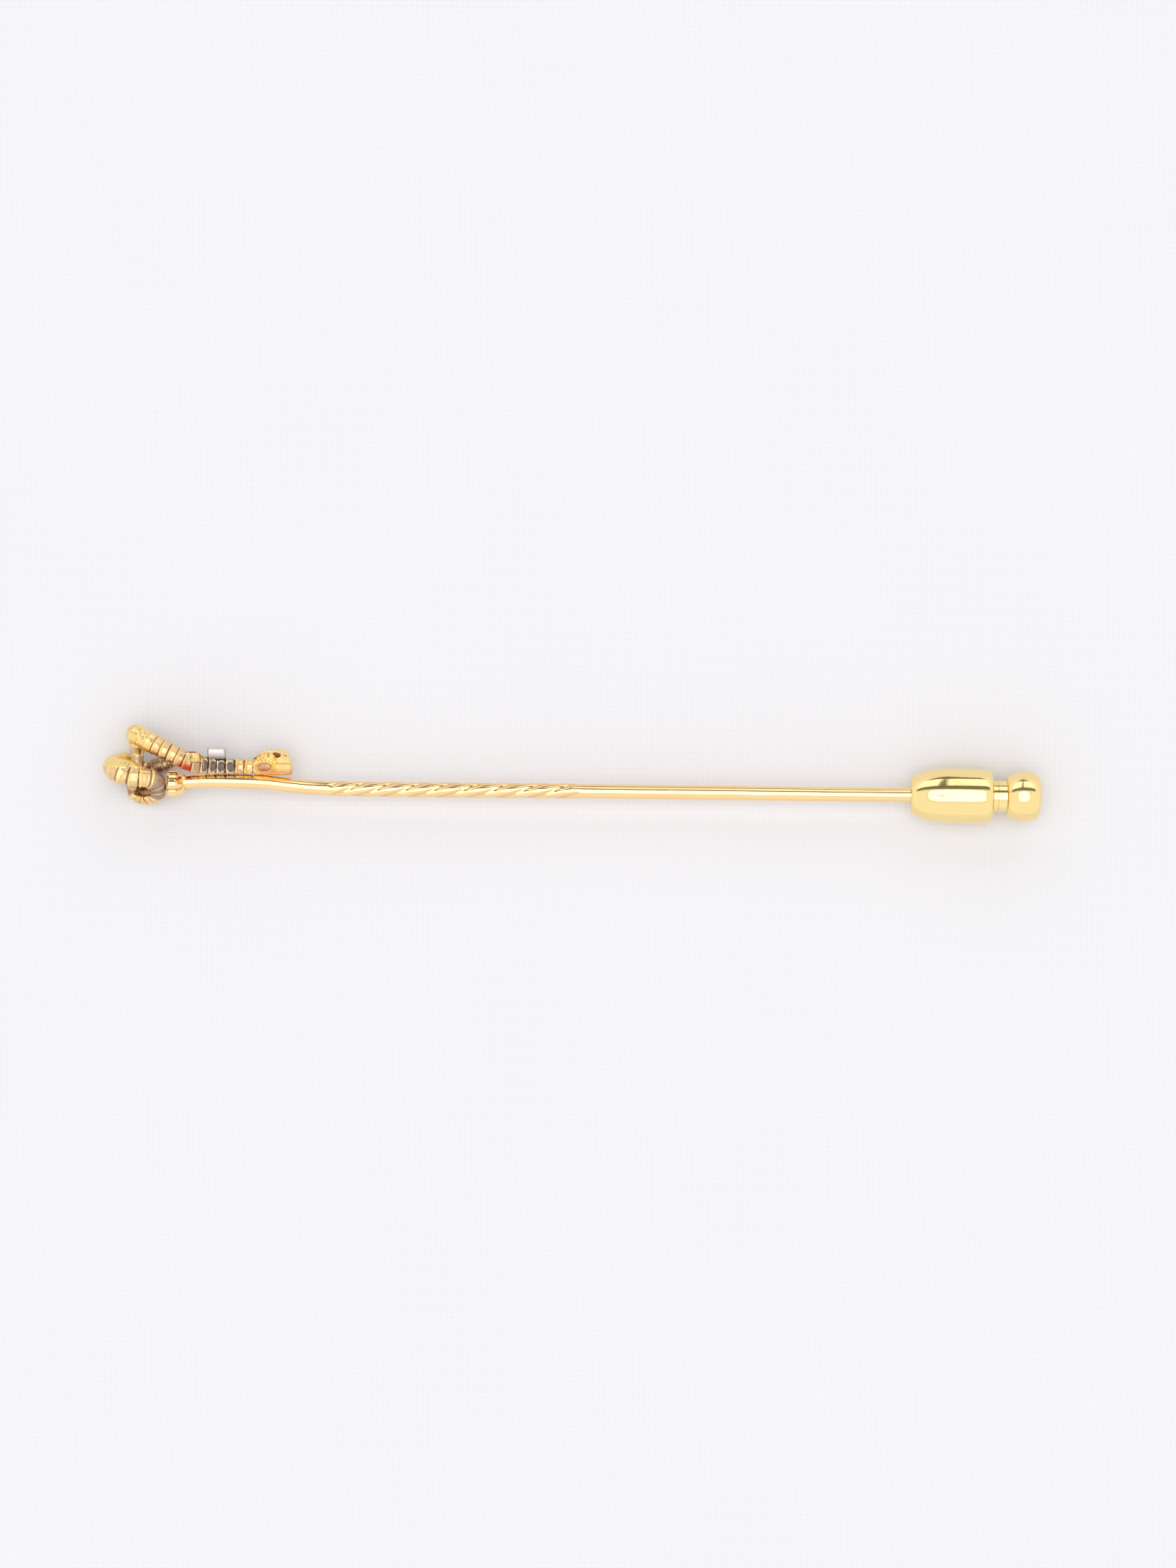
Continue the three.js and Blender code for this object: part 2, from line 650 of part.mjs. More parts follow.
add("pin_stem", stem(), "redGold");
add("stem_foot", shape(solid(foot()).subtract(solid(stem(JOINT_GAP)))), "redGold");
add("solder_bead", solderBead(), "oldGold");
add("snake_body", shape(snakeBody), "oldGold");
add("snake_head", shape(skull.subtract(sockets)), "oldGold");
add("eye_left", eyeBall(-1, EYE_DIAMETER / 2), "garnet");
add("eye_right", eyeBall(1, EYE_DIAMETER / 2), "garnet");
add("silver_sleeve", shape(silverSleeve), "silver");
add("ruby_collet", collet(RUBY_X, rubySeat, rubyPlace.point.z, RUBY_DIAMETER, 20, 0), "oldGold");
add("ruby", cutStone(RUBY_X, rubySeat, rubyPlace.point.z, RUBY_DIAMETER, RUBY_CROWN, 16, 0), "ruby");
add("diamond_collet", shape(diamondSetting()), "silver");
add(
  "diamond",
  cutStone(DIAMOND_X, diamondSeat, diamondPlace.point.z, DIAMOND_WIDTH * Math.SQRT2, DIAMOND_CROWN, 4, squareTurn),
  "diamond",
);

const clutch = [
  add("clutch_barrel", barrel(), "plate"),
  add("retaining_ring", retainingRing(), "plate"),
  add("plunger", plunger(), "plate"),
  add("clutch_spring", spring(), "steel"),
  add("clutch_knob", knob(), "plate"),
  ...ballDirections.map((way, i) => add(`grip_ball_${i + 1}`, ball(way), "steel")),
];
for (const piece of clutch) piece.position.x = NOSE_X;

// The origin is under the middle of the pin, on the surface that it lies on.
pin.updateMatrixWorld(true);
const box = new THREE.Box3().setFromObject(pin);
const centre = box.getCenter(new THREE.Vector3());
pin.position.set(-centre.x, -centre.y, -box.min.z);

export default pin;
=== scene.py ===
import math

import bmesh
import bpy
import numpy as np
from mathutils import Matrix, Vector, noise


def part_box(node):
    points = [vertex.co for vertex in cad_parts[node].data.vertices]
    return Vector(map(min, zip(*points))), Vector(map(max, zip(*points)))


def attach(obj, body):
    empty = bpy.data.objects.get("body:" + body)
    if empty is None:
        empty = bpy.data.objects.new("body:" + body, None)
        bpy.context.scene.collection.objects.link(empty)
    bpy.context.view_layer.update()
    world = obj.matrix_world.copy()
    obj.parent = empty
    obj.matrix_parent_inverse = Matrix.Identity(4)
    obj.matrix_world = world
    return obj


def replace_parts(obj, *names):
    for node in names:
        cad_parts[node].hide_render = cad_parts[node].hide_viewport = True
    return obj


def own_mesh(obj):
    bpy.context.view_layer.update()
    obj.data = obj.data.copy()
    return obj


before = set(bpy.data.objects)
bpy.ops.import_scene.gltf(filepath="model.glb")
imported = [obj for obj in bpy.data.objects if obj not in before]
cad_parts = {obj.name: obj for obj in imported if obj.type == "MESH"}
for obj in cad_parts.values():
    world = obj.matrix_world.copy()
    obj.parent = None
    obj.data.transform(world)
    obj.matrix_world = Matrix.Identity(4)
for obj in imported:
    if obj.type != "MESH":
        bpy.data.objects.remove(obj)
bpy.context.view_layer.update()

# A stick pin that lies on its side: a knotted snake, a twisted stem and a spring clutch.
# Sizes below are in millimetres, from the coil's outer edge (x) and the stem's axis (y, z).

MM = 0.001
LENGTH = 70
STEM_RADIUS = 0.54
STEM_BOW = 0.42
BODY_RADIUS = 0.79
SEAT_GAP = 0.06  # between the coil and the foot, and between parts that seat on each other
RIB_DEPTH = 0.17

_, knob_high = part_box("clutch_knob")
barrel_low, barrel_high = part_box("clutch_barrel")
AXIS = (barrel_low + barrel_high) / 2
ORIGIN = Vector((knob_high.x - LENGTH * MM, AXIS.y, AXIS.z))
BARREL_RADIUS = (barrel_high.y - barrel_low.y) / 2 / MM


def in_frame(points):
    """Points in the pin's own millimetres, as metres in the frame."""
    return np.asarray(points, float) * MM + np.array(ORIGIN)


def own(point):
    """A point of the frame in the pin's own millimetres."""
    return np.array(point - ORIGIN) / MM


# ---------------------------------------------------------------- shader tools


class Wire:
    """A value in a material. Arithmetic on it adds Math nodes."""

    def __init__(self, finish, socket):
        self.finish = finish
        self.socket = socket

    def math(self, operation, *values):
        settings = {"operation": operation}
        return self.finish.node("ShaderNodeMath", settings, dict(enumerate(values)))

    def __add__(self, other):
        return self.math("ADD", self, other)

    def __sub__(self, other):
        return self.math("SUBTRACT", self, other)

    def __mul__(self, other):
        return self.math("MULTIPLY", self, other)

    def __truediv__(self, other):
        return self.math("DIVIDE", self, other)

    def __pow__(self, other):
        return self.math("POWER", self, other)

    def __rsub__(self, other):
        return self.math("SUBTRACT", other, self)

    __radd__ = __add__
    __rmul__ = __mul__

    def step(self, start, end):
        """0 below start, 1 above end, smooth between."""
        settings = {"interpolation_type": "SMOOTHSTEP"}
        return self.finish.node("ShaderNodeMapRange", settings, {0: self, 1: start, 2: end})


class Finish:
    """A material, or the world, made of nodes."""

    def __init__(self, owner):
        owner.use_nodes = True
        self.owner = owner
        self.tree = owner.node_tree
        self.tree.nodes.clear()

    def node(self, kind, settings=None, sockets=None, output=0):
        made = self.tree.nodes.new(kind)
        for name, value in (settings or {}).items():
            setattr(made, name, value)
        for name, value in (sockets or {}).items():
            if isinstance(value, Wire):
                self.tree.links.new(value.socket, made.inputs[name])
            else:
                made.inputs[name].default_value = value
        return Wire(self, made.outputs[output])

    def mix(self, share, one, other):
        settings = {"data_type": "RGBA"}
        return self.node("ShaderNodeMix", settings, {0: share, 6: one, 7: other}, 2)

    def noise(self, size, detail=2, roughness=0.5, stretch=None):
        """Noise whose lumps are about size millimetres across; stretch scales it along each axis."""
        place = self.node("ShaderNodeTexCoord", output=3)
        if stretch:
            place = self.node("ShaderNodeMapping", sockets={0: place, 3: stretch})
        sockets = {"Vector": place, "Scale": 1 / (size * MM), "Detail": detail, "Roughness": roughness}
        return self.node("ShaderNodeTexNoise", sockets=sockets)

    def marked(self, name):
        """A number that the mesh holds at each of its points."""
        return self.node("ShaderNodeAttribute", {"attribute_name": name}, output=2)

    def bump(self, height, depth, strength=1.0, before=None):
        """Height from 0 to 1 over depth millimetres."""
        sockets = {"Height": height, "Distance": depth * MM, "Strength": strength}
        if before:
            sockets["Normal"] = before
        return self.node("ShaderNodeBump", sockets=sockets)

    def surface(self, shader):
        kind = "World" if isinstance(self.owner, bpy.types.World) else "Material"
        out = self.tree.nodes.new(f"ShaderNodeOutput{kind}")
        self.tree.links.new(shader.socket, out.inputs["Surface"])
        return self.owner

    def metal(self, colour, shine, normal):
        sockets = {"Base Color": colour, "Metallic": 1, "Roughness": shine, "Normal": normal}
        return self.surface(self.node("ShaderNodeBsdfPrincipled", sockets=sockets))


def new_finish(name):
    return Finish(bpy.data.materials.new(name))


def rgba(red, green, blue):
    return (red, green, blue, 1.0)


# ---------------------------------------------------------------- finishes


def bright_gold():
    """Plated yellow gold, machine turned: fine rings round the axis, faint haze and small dings."""
    f = new_finish("bright_gold")
    haze = f.noise(1.6, 3)
    rings = f.noise(0.05, 1, stretch=(1, 0.03, 0.03))
    specks = f.noise(0.09, 2).step(0.68, 0.78)
    tone = f.mix(haze, rgba(0.95, 0.735, 0.31), rgba(0.98, 0.78, 0.37))
    colour = f.mix(specks * 0.25, tone, rgba(0.7, 0.46, 0.16))
    shine = haze * 0.07 + rings * 0.03 + specks * 0.15 + 0.06
    normal = f.bump(rings, 0.002, 0.35, f.bump(f.noise(0.35, 3), 0.004, 0.6))
    return f.metal(colour, shine, normal)


def rosy_gold():
    """Drawn wire of a redder gold, polished, with lengthwise draw lines, and painted shade darkening its
    marked grooves.
    """
    f = new_finish("rosy_gold")
    haze = f.noise(2.2, 3)
    lines = f.noise(0.06, 2, stretch=(0.04, 1, 1))
    patina_and_shade = f.marked("patina_and_shade")
    tone = f.mix(haze, rgba(0.97, 0.66, 0.31), rgba(1.0, 0.73, 0.38))
    # Painted shade: the marked grooves go dark brown.
    colour = f.mix(patina_and_shade * 0.75, tone, rgba(0.5, 0.24, 0.08))
    shine = haze * 0.06 + lines * 0.05 + patina_and_shade * 0.12 + 0.06
    normal = f.bump(lines, 0.003, 0.35)
    return f.metal(colour, shine, normal)


def old_gold():
    """Cast antique gold: rubbed bright on its ridges, with brown patina and painted shade in its recesses.

    The mesh marks its recesses, the purple-grey stretches of painted shade and film, and the places painted
    red as the ruby's light and as warm shade under the jaw.
    """
    f = new_finish("old_gold")
    patina_and_shade = f.marked("patina_and_shade")
    purple_film_and_shade = f.marked("purple_film_and_shade")
    red = f.marked("red")
    patches = f.noise(0.7, 4, 0.6)
    blotches = f.noise(0.28, 3, 0.6)
    grain = f.noise(0.1, 3, 0.6)
    tone = f.mix(patches, rgba(0.93, 0.62, 0.17), rgba(1.0, 0.83, 0.42))
    film = f.mix(blotches, rgba(0.8, 0.45, 0.18), rgba(0.78, 0.54, 0.38))
    patina_shade_brown = f.mix(grain, rgba(0.3, 0.14, 0.045), rgba(0.42, 0.25, 0.16))
    grey = f.mix(blotches, rgba(0.24, 0.15, 0.12), rgba(0.5, 0.37, 0.31))
    # Film and dark brown where the mesh marks patina and painted shade.
    filmed_and_shaded = f.mix((patina_and_shade * 1.2 + blotches - 0.6).step(0.0, 0.8) * 0.8, tone, film)
    darkened_by_patina_and_shade = f.mix((patina_and_shade + blotches * 0.4 - 0.2).step(0.5, 1.1) * 0.9, filmed_and_shaded, patina_shade_brown)
    # Purple-grey painted shade where the mesh marks it.
    purple_shaded = f.mix((purple_film_and_shade * 1.3 + blotches * 0.5 - 0.3).step(0.0, 1.0) * 0.85, darkened_by_patina_and_shade, grey)
    # Painted red: the ruby's light and reflection, and warm shade under the jaw.
    colour = f.mix(red * 0.95, purple_shaded, rgba(0.62, 0.05, 0.008))
    shine = patches * 0.1 + patina_and_shade * 0.2 + grain * 0.1 + purple_film_and_shade * 0.12 + 0.1
    coarse = f.bump(f.noise(0.26, 3), 0.05, 0.6)
    normal = f.bump(grain, 0.012, 0.6, coarse)
    return f.metal(colour, shine, normal)


def dark_silver():
    """Silver gone grey, darkest on its flat faces, with gold showing on the rubbed edges."""
    f = new_finish("dark_silver")
    patina_and_shade = f.marked("patina_and_shade")
    gilt = f.marked("gilt")
    face = f.marked("face")
    patches = f.noise(0.5, 4, 0.6)
    grain = f.noise(0.1, 3, 0.6)
    metal = f.mix(patches, rgba(0.42, 0.33, 0.27), rgba(0.66, 0.56, 0.47))
    dull = f.mix(patches, rgba(0.12, 0.1, 0.085), rgba(0.26, 0.21, 0.185))
    faced = f.mix(face, metal, dull)
    rubbed = f.mix(gilt, faced, rgba(0.98, 0.76, 0.42))
    # The marked grooves go near black, as patina and painted shade.
    colour = f.mix((patina_and_shade + patches * 0.3 - 0.2).step(0.3, 1.0) * 0.85, rubbed, rgba(0.1, 0.06, 0.045))
    shine = patches * 0.16 + patina_and_shade * 0.2 + face * 0.1 + 0.14
    normal = f.bump(grain, 0.01, 0.5, f.bump(f.noise(0.24, 3), 0.04, 0.6))
    return f.metal(colour, shine, normal)


def pale_silver():
    """White silver of the diamond's setting and the little grains: satin, faintly grey and rosy."""
    f = new_finish("pale_silver")
    patina_and_shade = f.marked("patina_and_shade")
    patches = f.noise(0.4, 3)
    grain = f.noise(0.08, 3)
    metal = f.mix(patches, rgba(0.5, 0.46, 0.42), rgba(0.68, 0.64, 0.61))
    # Painted shade: the setting's foot and inside go dark where the mesh marks them.
    colour = f.mix(patina_and_shade, metal, rgba(0.12, 0.1, 0.08))
    shine = patches * 0.15 + grain * 0.1 + 0.25
    normal = f.bump(grain, 0.01, 0.5)
    return f.metal(colour, shine, normal)


def bright_steel():
    """Ground steel for the balls and spring, with a light film of oil."""
    f = new_finish("bright_steel")
    film = f.noise(0.5, 3)
    scratch = f.noise(0.05, 2)
    colour = f.mix(film, rgba(0.55, 0.56, 0.58), rgba(0.72, 0.72, 0.72))
    shine = film * 0.12 + scratch * 0.06 + 0.12
    normal = f.bump(scratch, 0.003, 0.4)
    return f.metal(colour, shine, normal)


def stone(name, deep, pale, index, clearness):
    """A polished gem with faint zoning and rubbed facet edges."""
    f = new_finish(name)
    zones = f.noise(0.5, 3)
    wear = f.noise(0.08, 2).step(0.6, 0.8)
    sockets = {
        "Base Color": f.mix(zones, deep, pale),
        "Roughness": wear * 0.08 + 0.02,
        "IOR": index,
        "Transmission Weight": clearness,
        "Normal": f.bump(wear, 0.002, 0.3),
    }
    return f.surface(f.node("ShaderNodeBsdfPrincipled", sockets=sockets))


THREAD_PITCH = 0.42
WAVE_LENGTH = 0.31  # of a wave texture whose scale is 1


def cloth():
    """Smooth white cotton: a fine weave under an even light."""
    f = new_finish("white_cloth")
    place = f.node("ShaderNodeTexCoord", output=3)
    threads = [
        f.node(
            "ShaderNodeTexWave",
            {"bands_direction": way},
            {"Vector": place, "Scale": WAVE_LENGTH / (THREAD_PITCH * MM), "Distortion": 0.6, "Detail": 1},
            1,
        )
        for way in "XY"
    ]
    weave = (threads[0] + threads[1]) * 0.5
    cloud = f.noise(18, 2)
    tone = f.mix(cloud, rgba(0.767, 0.762, 0.778), rgba(0.792, 0.787, 0.803))
    sockets = {
        "Base Color": f.mix(weave * 0.35, tone, rgba(0.845, 0.84, 0.857)),
        "Roughness": 0.95,
        "Specular IOR Level": 0.1,
        "Normal": f.bump(weave, 0.02, 0.35),
    }
    return f.surface(f.node("ShaderNodeBsdfPrincipled", sockets=sockets))


# ---------------------------------------------------------------- mesh tools


def mesh_object(name, points, faces, body, finish, marks=None, smooth=True):
    """A mesh in the frame that rides on a body. marks are numbers at each point, by name."""
    mesh = bpy.data.meshes.new(name)
    mesh.from_pydata([tuple(p) for p in in_frame(points)], [], faces)
    mesh.update()
    for mark, values in (marks or {}).items():
        attribute = mesh.attributes.new(mark, "FLOAT", "POINT")
        attribute.data.foreach_set("value", np.asarray(values, np.float32).ravel())
    mesh.polygons.foreach_set("use_smooth", [smooth] * len(mesh.polygons))
    mesh.materials.append(finish)
    made = bpy.data.objects.new(name, mesh)
    bpy.context.scene.collection.objects.link(made)
    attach(made, body)
    return made


def grid_faces(rows, columns, close_rows=False):
    """Quads over rings of points, each ring closed on itself."""
    faces = []
    for i in range(rows if close_rows else rows - 1):
        for j in range(columns):
            k = (j + 1) % columns
            n = (i + 1) % rows
            faces.append((i * columns + j, i * columns + k, n * columns + k, n * columns + j))
    return faces


def capped(rings, faces):
    """Adds a middle point to each end ring, and the faces that close it."""
    rows, columns = rings.shape[:2]
    points = rings.reshape(-1, 3)
    ends = np.array([rings[0].mean(0), rings[-1].mean(0)])
    first = len(points)
    last = first + 1
    tail = (rows - 1) * columns
    for j in range(columns):
        k = (j + 1) % columns
        faces.append((first, k, j))
        faces.append((last, tail + j, tail + k))
    return np.vstack([points, ends]), faces


def closed_tube(name, rings, body, finish, marks=None):
    """A solid over rings of points, closed at both ends."""
    points, faces = capped(rings, grid_faces(*rings.shape[:2]))
    made = mesh_object(name, points, faces, body, finish, marks)
    make_outward(made.data)
    return made


def smooth_line(knots, count):
    """A smooth curve through knots (x, y, z and more columns), at even steps of its length."""
    knots = np.asarray(knots, float)
    ends = np.vstack([2 * knots[0] - knots[1], knots, 2 * knots[-1] - knots[-2]])
    gaps = np.sqrt(np.linalg.norm(np.diff(ends[:, :3], axis=0), axis=1))
    at = np.concatenate([[0], np.cumsum(gaps)])
    dense = []
    for i in range(1, len(ends) - 2):
        t = np.linspace(at[i], at[i + 1], 60, endpoint=False)[:, None]
        a = [
            (at[k + 1] - t) / (at[k + 1] - at[k]) * ends[k]
            + (t - at[k]) / (at[k + 1] - at[k]) * ends[k + 1]
            for k in (i - 1, i, i + 1)
        ]
        b = [
            (at[k + 2] - t) / (at[k + 2] - at[k]) * a[m]
            + (t - at[k]) / (at[k + 2] - at[k]) * a[m + 1]
            for m, k in ((0, i - 1), (1, i))
        ]
        dense.append((at[i + 1] - t) / (at[i + 1] - at[i]) * b[0] + (t - at[i]) / (at[i + 1] - at[i]) * b[1])
    dense = np.vstack([*dense, knots[-1:]])
    run = np.concatenate([[0], np.cumsum(np.linalg.norm(np.diff(dense[:, :3], axis=0), axis=1))])
    steps = np.linspace(0, run[-1], count)
    line = np.stack([np.interp(steps, run, column) for column in dense.T], axis=1)
    return line, steps


def directions(line, start):
    """Two directions across a line at each of its points, carried along it without twist."""
    along = np.gradient(line, axis=0)
    along /= np.linalg.norm(along, axis=1)[:, None]
    side = np.array(start, float)
    ones = []
    for t in along:
        side = side - (side @ t) * t
        side /= np.linalg.norm(side)
        ones.append(side)
    ones = np.array(ones)
    return ones, np.cross(along, ones)


def tube_points(line, start, radii):
    """Rings of points round a line; radii holds one row for each ring."""
    one, other = directions(line, start)
    angles = np.linspace(0, 2 * math.pi, radii.shape[1], endpoint=False)
    across = np.cos(angles)[None, :, None] * one[:, None] + np.sin(angles)[None, :, None] * other[:, None]
    return line[:, None] + radii[:, :, None] * across, across


def superellipse(angles, power):
    """The outline of a rounded square, as a share of its half width."""
    return (np.abs(np.cos(angles)) ** power + np.abs(np.sin(angles)) ** power) ** (-1 / power)


def smoothstep(value, start, end):
    t = np.clip((value - start) / (end - start), 0, 1)
    return t * t * (3 - 2 * t)


def lumps(points, size, seed):
    """Smooth noise from -1 to 1 at each point, with lumps of about size millimetres."""
    shape = points.shape[:-1]
    flat = points.reshape(-1, 3) / size + seed
    return np.array([noise.noise(Vector(p)) for p in flat]).reshape(shape)


def turned(name, profile, body, finish, sides=96, x=0.0, marks=None):
    """A profile of (x, radius) turned about the stem's axis. It closes on itself, or on the axis."""
    profile = np.array(profile, float)
    angles = np.linspace(0, 2 * math.pi, sides, endpoint=False)
    rings = np.stack(
        [
            np.repeat(profile[:, :1] + x, sides, 1),
            profile[:, 1:] * np.cos(angles),
            profile[:, 1:] * np.sin(angles),
        ],
        axis=-1,
    )
    on_axis = profile[0, 1] < 1e-6
    faces = grid_faces(len(profile), sides, close_rows=not on_axis)
    made = mesh_object(name, rings.reshape(-1, 3), faces, body, finish, marks)
    mesh = made.data
    if on_axis:
        weld(mesh)
    make_outward(mesh)
    return made


def weld(mesh):
    b = bmesh.new()
    b.from_mesh(mesh)
    bmesh.ops.remove_doubles(b, verts=b.verts, dist=1e-8)
    b.to_mesh(mesh)
    b.free()


def make_outward(mesh):
    b = bmesh.new()
    b.from_mesh(mesh)
    bmesh.ops.recalc_face_normals(b, faces=b.faces)
    b.to_mesh(mesh)
    b.free()


def arc(x, r, radius, start, end, steps=8):
    """Points of a round stretch of profile; angles in degrees, 0 along x and 90 outwards."""
    angles = np.radians(np.linspace(start, end, steps + 1))
    return [(x + radius * math.cos(a), r + radius * math.sin(a)) for a in angles]


def bend(points, steps=16):
    """A Bezier stretch of profile through four points."""
    p = np.array(points, float)
    t = np.linspace(0, 1, steps + 1)[:, None]
    line = (1 - t) ** 3 * p[0] + 3 * (1 - t) ** 2 * t * p[1] + 3 * (1 - t) * t**2 * p[2] + t**3 * p[3]
    return [tuple(v) for v in line]


def crease(made, degrees=35):
    """Keeps edges sharper than this crisp in the shading."""
    made.data.set_sharp_from_angle(angle=math.radians(degrees))


# ---------------------------------------------------------------- stem, foot and bead

FOOT_X = 4.83
FOOT_LENGTH = 1.0
TWIST_START = 16.6
TWIST_LENGTH = 19.3
TWIST_TURNS = 2.25
POINT_LENGTH = 4.0
STEM_END = own(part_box("pin_stem")[1])[0]
STEM_LINE = [
    (FOOT_X + 0.5, STEM_BOW * 0.55),
    (FOOT_X + 2.0, STEM_BOW * 0.9),
    (9.4, STEM_BOW),
    (12.0, STEM_BOW * 0.85),
    (14.2, STEM_BOW * 0.34),
    (16.4, 0.0),
    (35.9, 0.0),
    (STEM_END, 0.0),
]
TWIST_STARTS = 4  # ridges round the twisted stretch
RIDGE_RISE = 0.05  # of the stem's radius, above the plain stem
VALLEY_DEPTH = 0.15  # of the stem's radius, below the ridges
VALLEY_WIDTH = 0.3  # radians
TIP_SHARE = 0.12  # of the stem's radius, at the point


def pin_stem(finish):
    """Round wire with a bow beside the snake, a twisted stretch of four ridges, and a long point."""
    line, _ = smooth_line([(x, y, 0.0) for x, y in STEM_LINE], 1500)
    angles = np.linspace(0, 2 * math.pi, 64, endpoint=False)
    x = line[:, :1]
    twisted = np.clip((x - TWIST_START) / TWIST_LENGTH, 0, 1)
    fade = smoothstep(twisted, 0, 0.06) * (1 - smoothstep(twisted, 0.94, 1))
    turn = 2 * math.pi * TWIST_TURNS * twisted**0.93
    pitch = 2 * math.pi / TWIST_STARTS
    from_valley = np.abs((angles[None] + turn + pitch / 2) % pitch - pitch / 2)
    valley = ridge(from_valley, VALLEY_WIDTH)
    radii = STEM_RADIUS * (1 + fade * (RIDGE_RISE - VALLEY_DEPTH * valley))
    taper = np.sqrt(np.clip((STEM_END - x) / POINT_LENGTH, 0, 1))
    radii = radii * (TIP_SHARE + (1 - TIP_SHARE) * taper)
    rings, _ = tube_points(line, (0, 1, 0), radii)
    points, faces = capped(rings, grid_faces(*rings.shape[:2]))
    # The twist's valleys are marked for painted shade.
    patina_and_shade = fade * valley * 0.4
    marks = {"patina_and_shade": np.concatenate([patina_and_shade.ravel(), [0, 0]])}
    made = mesh_object("stem", points, faces, "pin", finish, marks)
    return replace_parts(made, "pin_stem")


FOOT_LOBES = 6
FOOT_FLARE = 0.26  # how far the foot's mouth runs out along the stem
LOBE_DEPTH = 0.2  # of the foot's radius


def stem_foot(finish):
    """The cap with six lobes; its near lobe runs on into the stem like the mouth of a trumpet."""
    low, high = (own(p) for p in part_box("stem_foot"))
    centre = (low + high) / 2
    radius = (high - low)[2] / 2
    x = np.linspace(0, FOOT_LENGTH + FOOT_FLARE, 64)
    angles = np.linspace(0, 2 * math.pi, 180, endpoint=False)
    lobe = np.abs(np.sin(FOOT_LOBES / 2 * angles)) ** 0.55
    lobes = radius * (1 - LOBE_DEPTH + LOBE_DEPTH * lobe)[None]
    rim = 1 - 0.08 * (1 - smoothstep(x, 0, 0.16)) - 0.2 * smoothstep(x, 0.5, 1.0) ** 2
    fall = smoothstep(x, 0.82, 1.12)[:, None]
    throat = 0.58 + 0.13 * (1 - smoothstep(x, 0.9, FOOT_LENGTH + FOOT_FLARE))[:, None]
    shift = (STEM_BOW * 0.85 - centre[1]) * smoothstep(x, 0.8, 1.2)
    radii = lobes * rim[:, None] * (1 - fall) + throat * fall
    line = np.stack([low[0] + x, centre[1] + shift, centre[2] + 0 * x], 1)
    rings, _ = tube_points(line, (0, 1, 0), radii)
    points, faces = capped(rings, grid_faces(*rings.shape[:2]))
    # The valleys between the lobes are marked for painted shade.
    patina_and_shade = (1 - lobe)[None] ** 1.5 * (1 - 0.8 * fall)
    marks = {"patina_and_shade": np.concatenate([patina_and_shade.ravel(), [0.3, 0.3]])}
    made = mesh_object("foot", points, faces, "pin", finish, marks)
    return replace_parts(made, "stem_foot")


def rounded_lump(name, centre, radii, body, finish, rough=0.08, seed=1.0, lean=0.0):
    """A small smooth lump, a little uneven, as a solder bead or a polished eye is."""
    up = np.linspace(-math.pi / 2, math.pi / 2, 25)[1:-1]
    round_ = np.linspace(0, 2 * math.pi, 40, endpoint=False)
    unit = np.stack(
        [
            np.cos(up)[:, None] * np.cos(round_),
            np.cos(up)[:, None] * np.sin(round_),
            np.repeat(np.sin(up)[:, None], 40, 1),
        ],
        -1,
    )
    uneven = 1 + rough * lumps(unit, 0.9, seed)
    local = unit * uneven[..., None] * np.array(radii)
    turn = np.array([[math.cos(lean), -math.sin(lean), 0], [math.sin(lean), math.cos(lean), 0], [0, 0, 1]])
    rings = np.array(centre) + local @ turn.T
    return closed_tube(name, rings, body, finish)


def solder_bead(finish):
    low, high = (own(p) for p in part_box("solder_bead"))
    made = rounded_lump("bead", (low + high) / 2, (0.2, 0.16, 0.18), "pin", finish, 0.2)
    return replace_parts(made, "solder_bead")


# ---------------------------------------------------------------- the snake

FOOT_TURN = FOOT_X - SEAT_GAP - 0.9 * BODY_RADIUS
LIFT = STEM_BOW + STEM_RADIUS + 0.02  # the neck's underside, which lies on the stem
HEAD_DROP = 0.06  # the head lies a little lower than its solid


def near(share):
    """The height of a turn whose near side reaches as far out as the barrel's."""
    return BARREL_RADIUS - share * BODY_RADIUS


def on_stem(share):
    """The height of a turn that lies on the stem."""
    return LIFT + share * BODY_RADIUS


# Neck, rise to the top turn, column through the ring, under loop, ring and tail, as in the frame:
# x, y, z and the share of the body's radius.
KNOT = [
    (11.2, on_stem(0.72), 0.22, 0.72),
    (9.8, on_stem(0.74), 0.32, 0.74),
    (8.2, on_stem(0.8), 0.5, 0.8),
    (6.6, 1.79, 0.9, 0.94),
    (5.3, 2.38, 1.02, 0.96),
    (4.1, 2.97, 0.9, 0.99),
    (3.15, 3.46, 0.6, 1),
    (2.45, 3.84, 0.15, 0.99),
    (2.4, 3.75, -0.4, 0.89),
    (2.5, 2.9, -0.5, 0.71),
    (2.52, 2.05, -0.2, 0.63),
    (2.45, 1.1, -0.1, 0.61),
    (2.25, 0.25, -0.45, 0.63),
    (2.2, -0.4, -1, 0.71),
    (2.7, -0.77, -near(0.79), 0.79),
    (3.45, -0.77, -1.05, 0.81),
    (FOOT_TURN - 0.06, -0.5, -0.3, 0.86),
    (FOOT_TURN, 0.05, 0.4, 0.9),
    (3.85, 0.45, 0.95, 0.97),
    (3.2, 0.6, near(1), 1),
    (2.2, 0.68, near(1), 1),
    (1.3, 0.93, 0.97, 1),
    (BODY_RADIUS, 1.25, 0.2, 1),
    (0.9, 1.52, -0.55, 1),
    (1.45, 1.68, -1.1, 0.99),
    (2.3, 1.42, -near(0.97), 0.97),
    (3.3, 1.1, -near(0.88), 0.88),
    (4.05, 1.45, -1.1, 0.86),
    (4.8, 1.72, -0.85, 0.66),
    (5.5, 1.8, -0.5, 0.25),
]
SLEEVE = (7.5, 9.85)
RING_SIDES = 96
knot_line, knot_run = smooth_line(KNOT, 2000)
knot_share = knot_run / knot_run[-1]

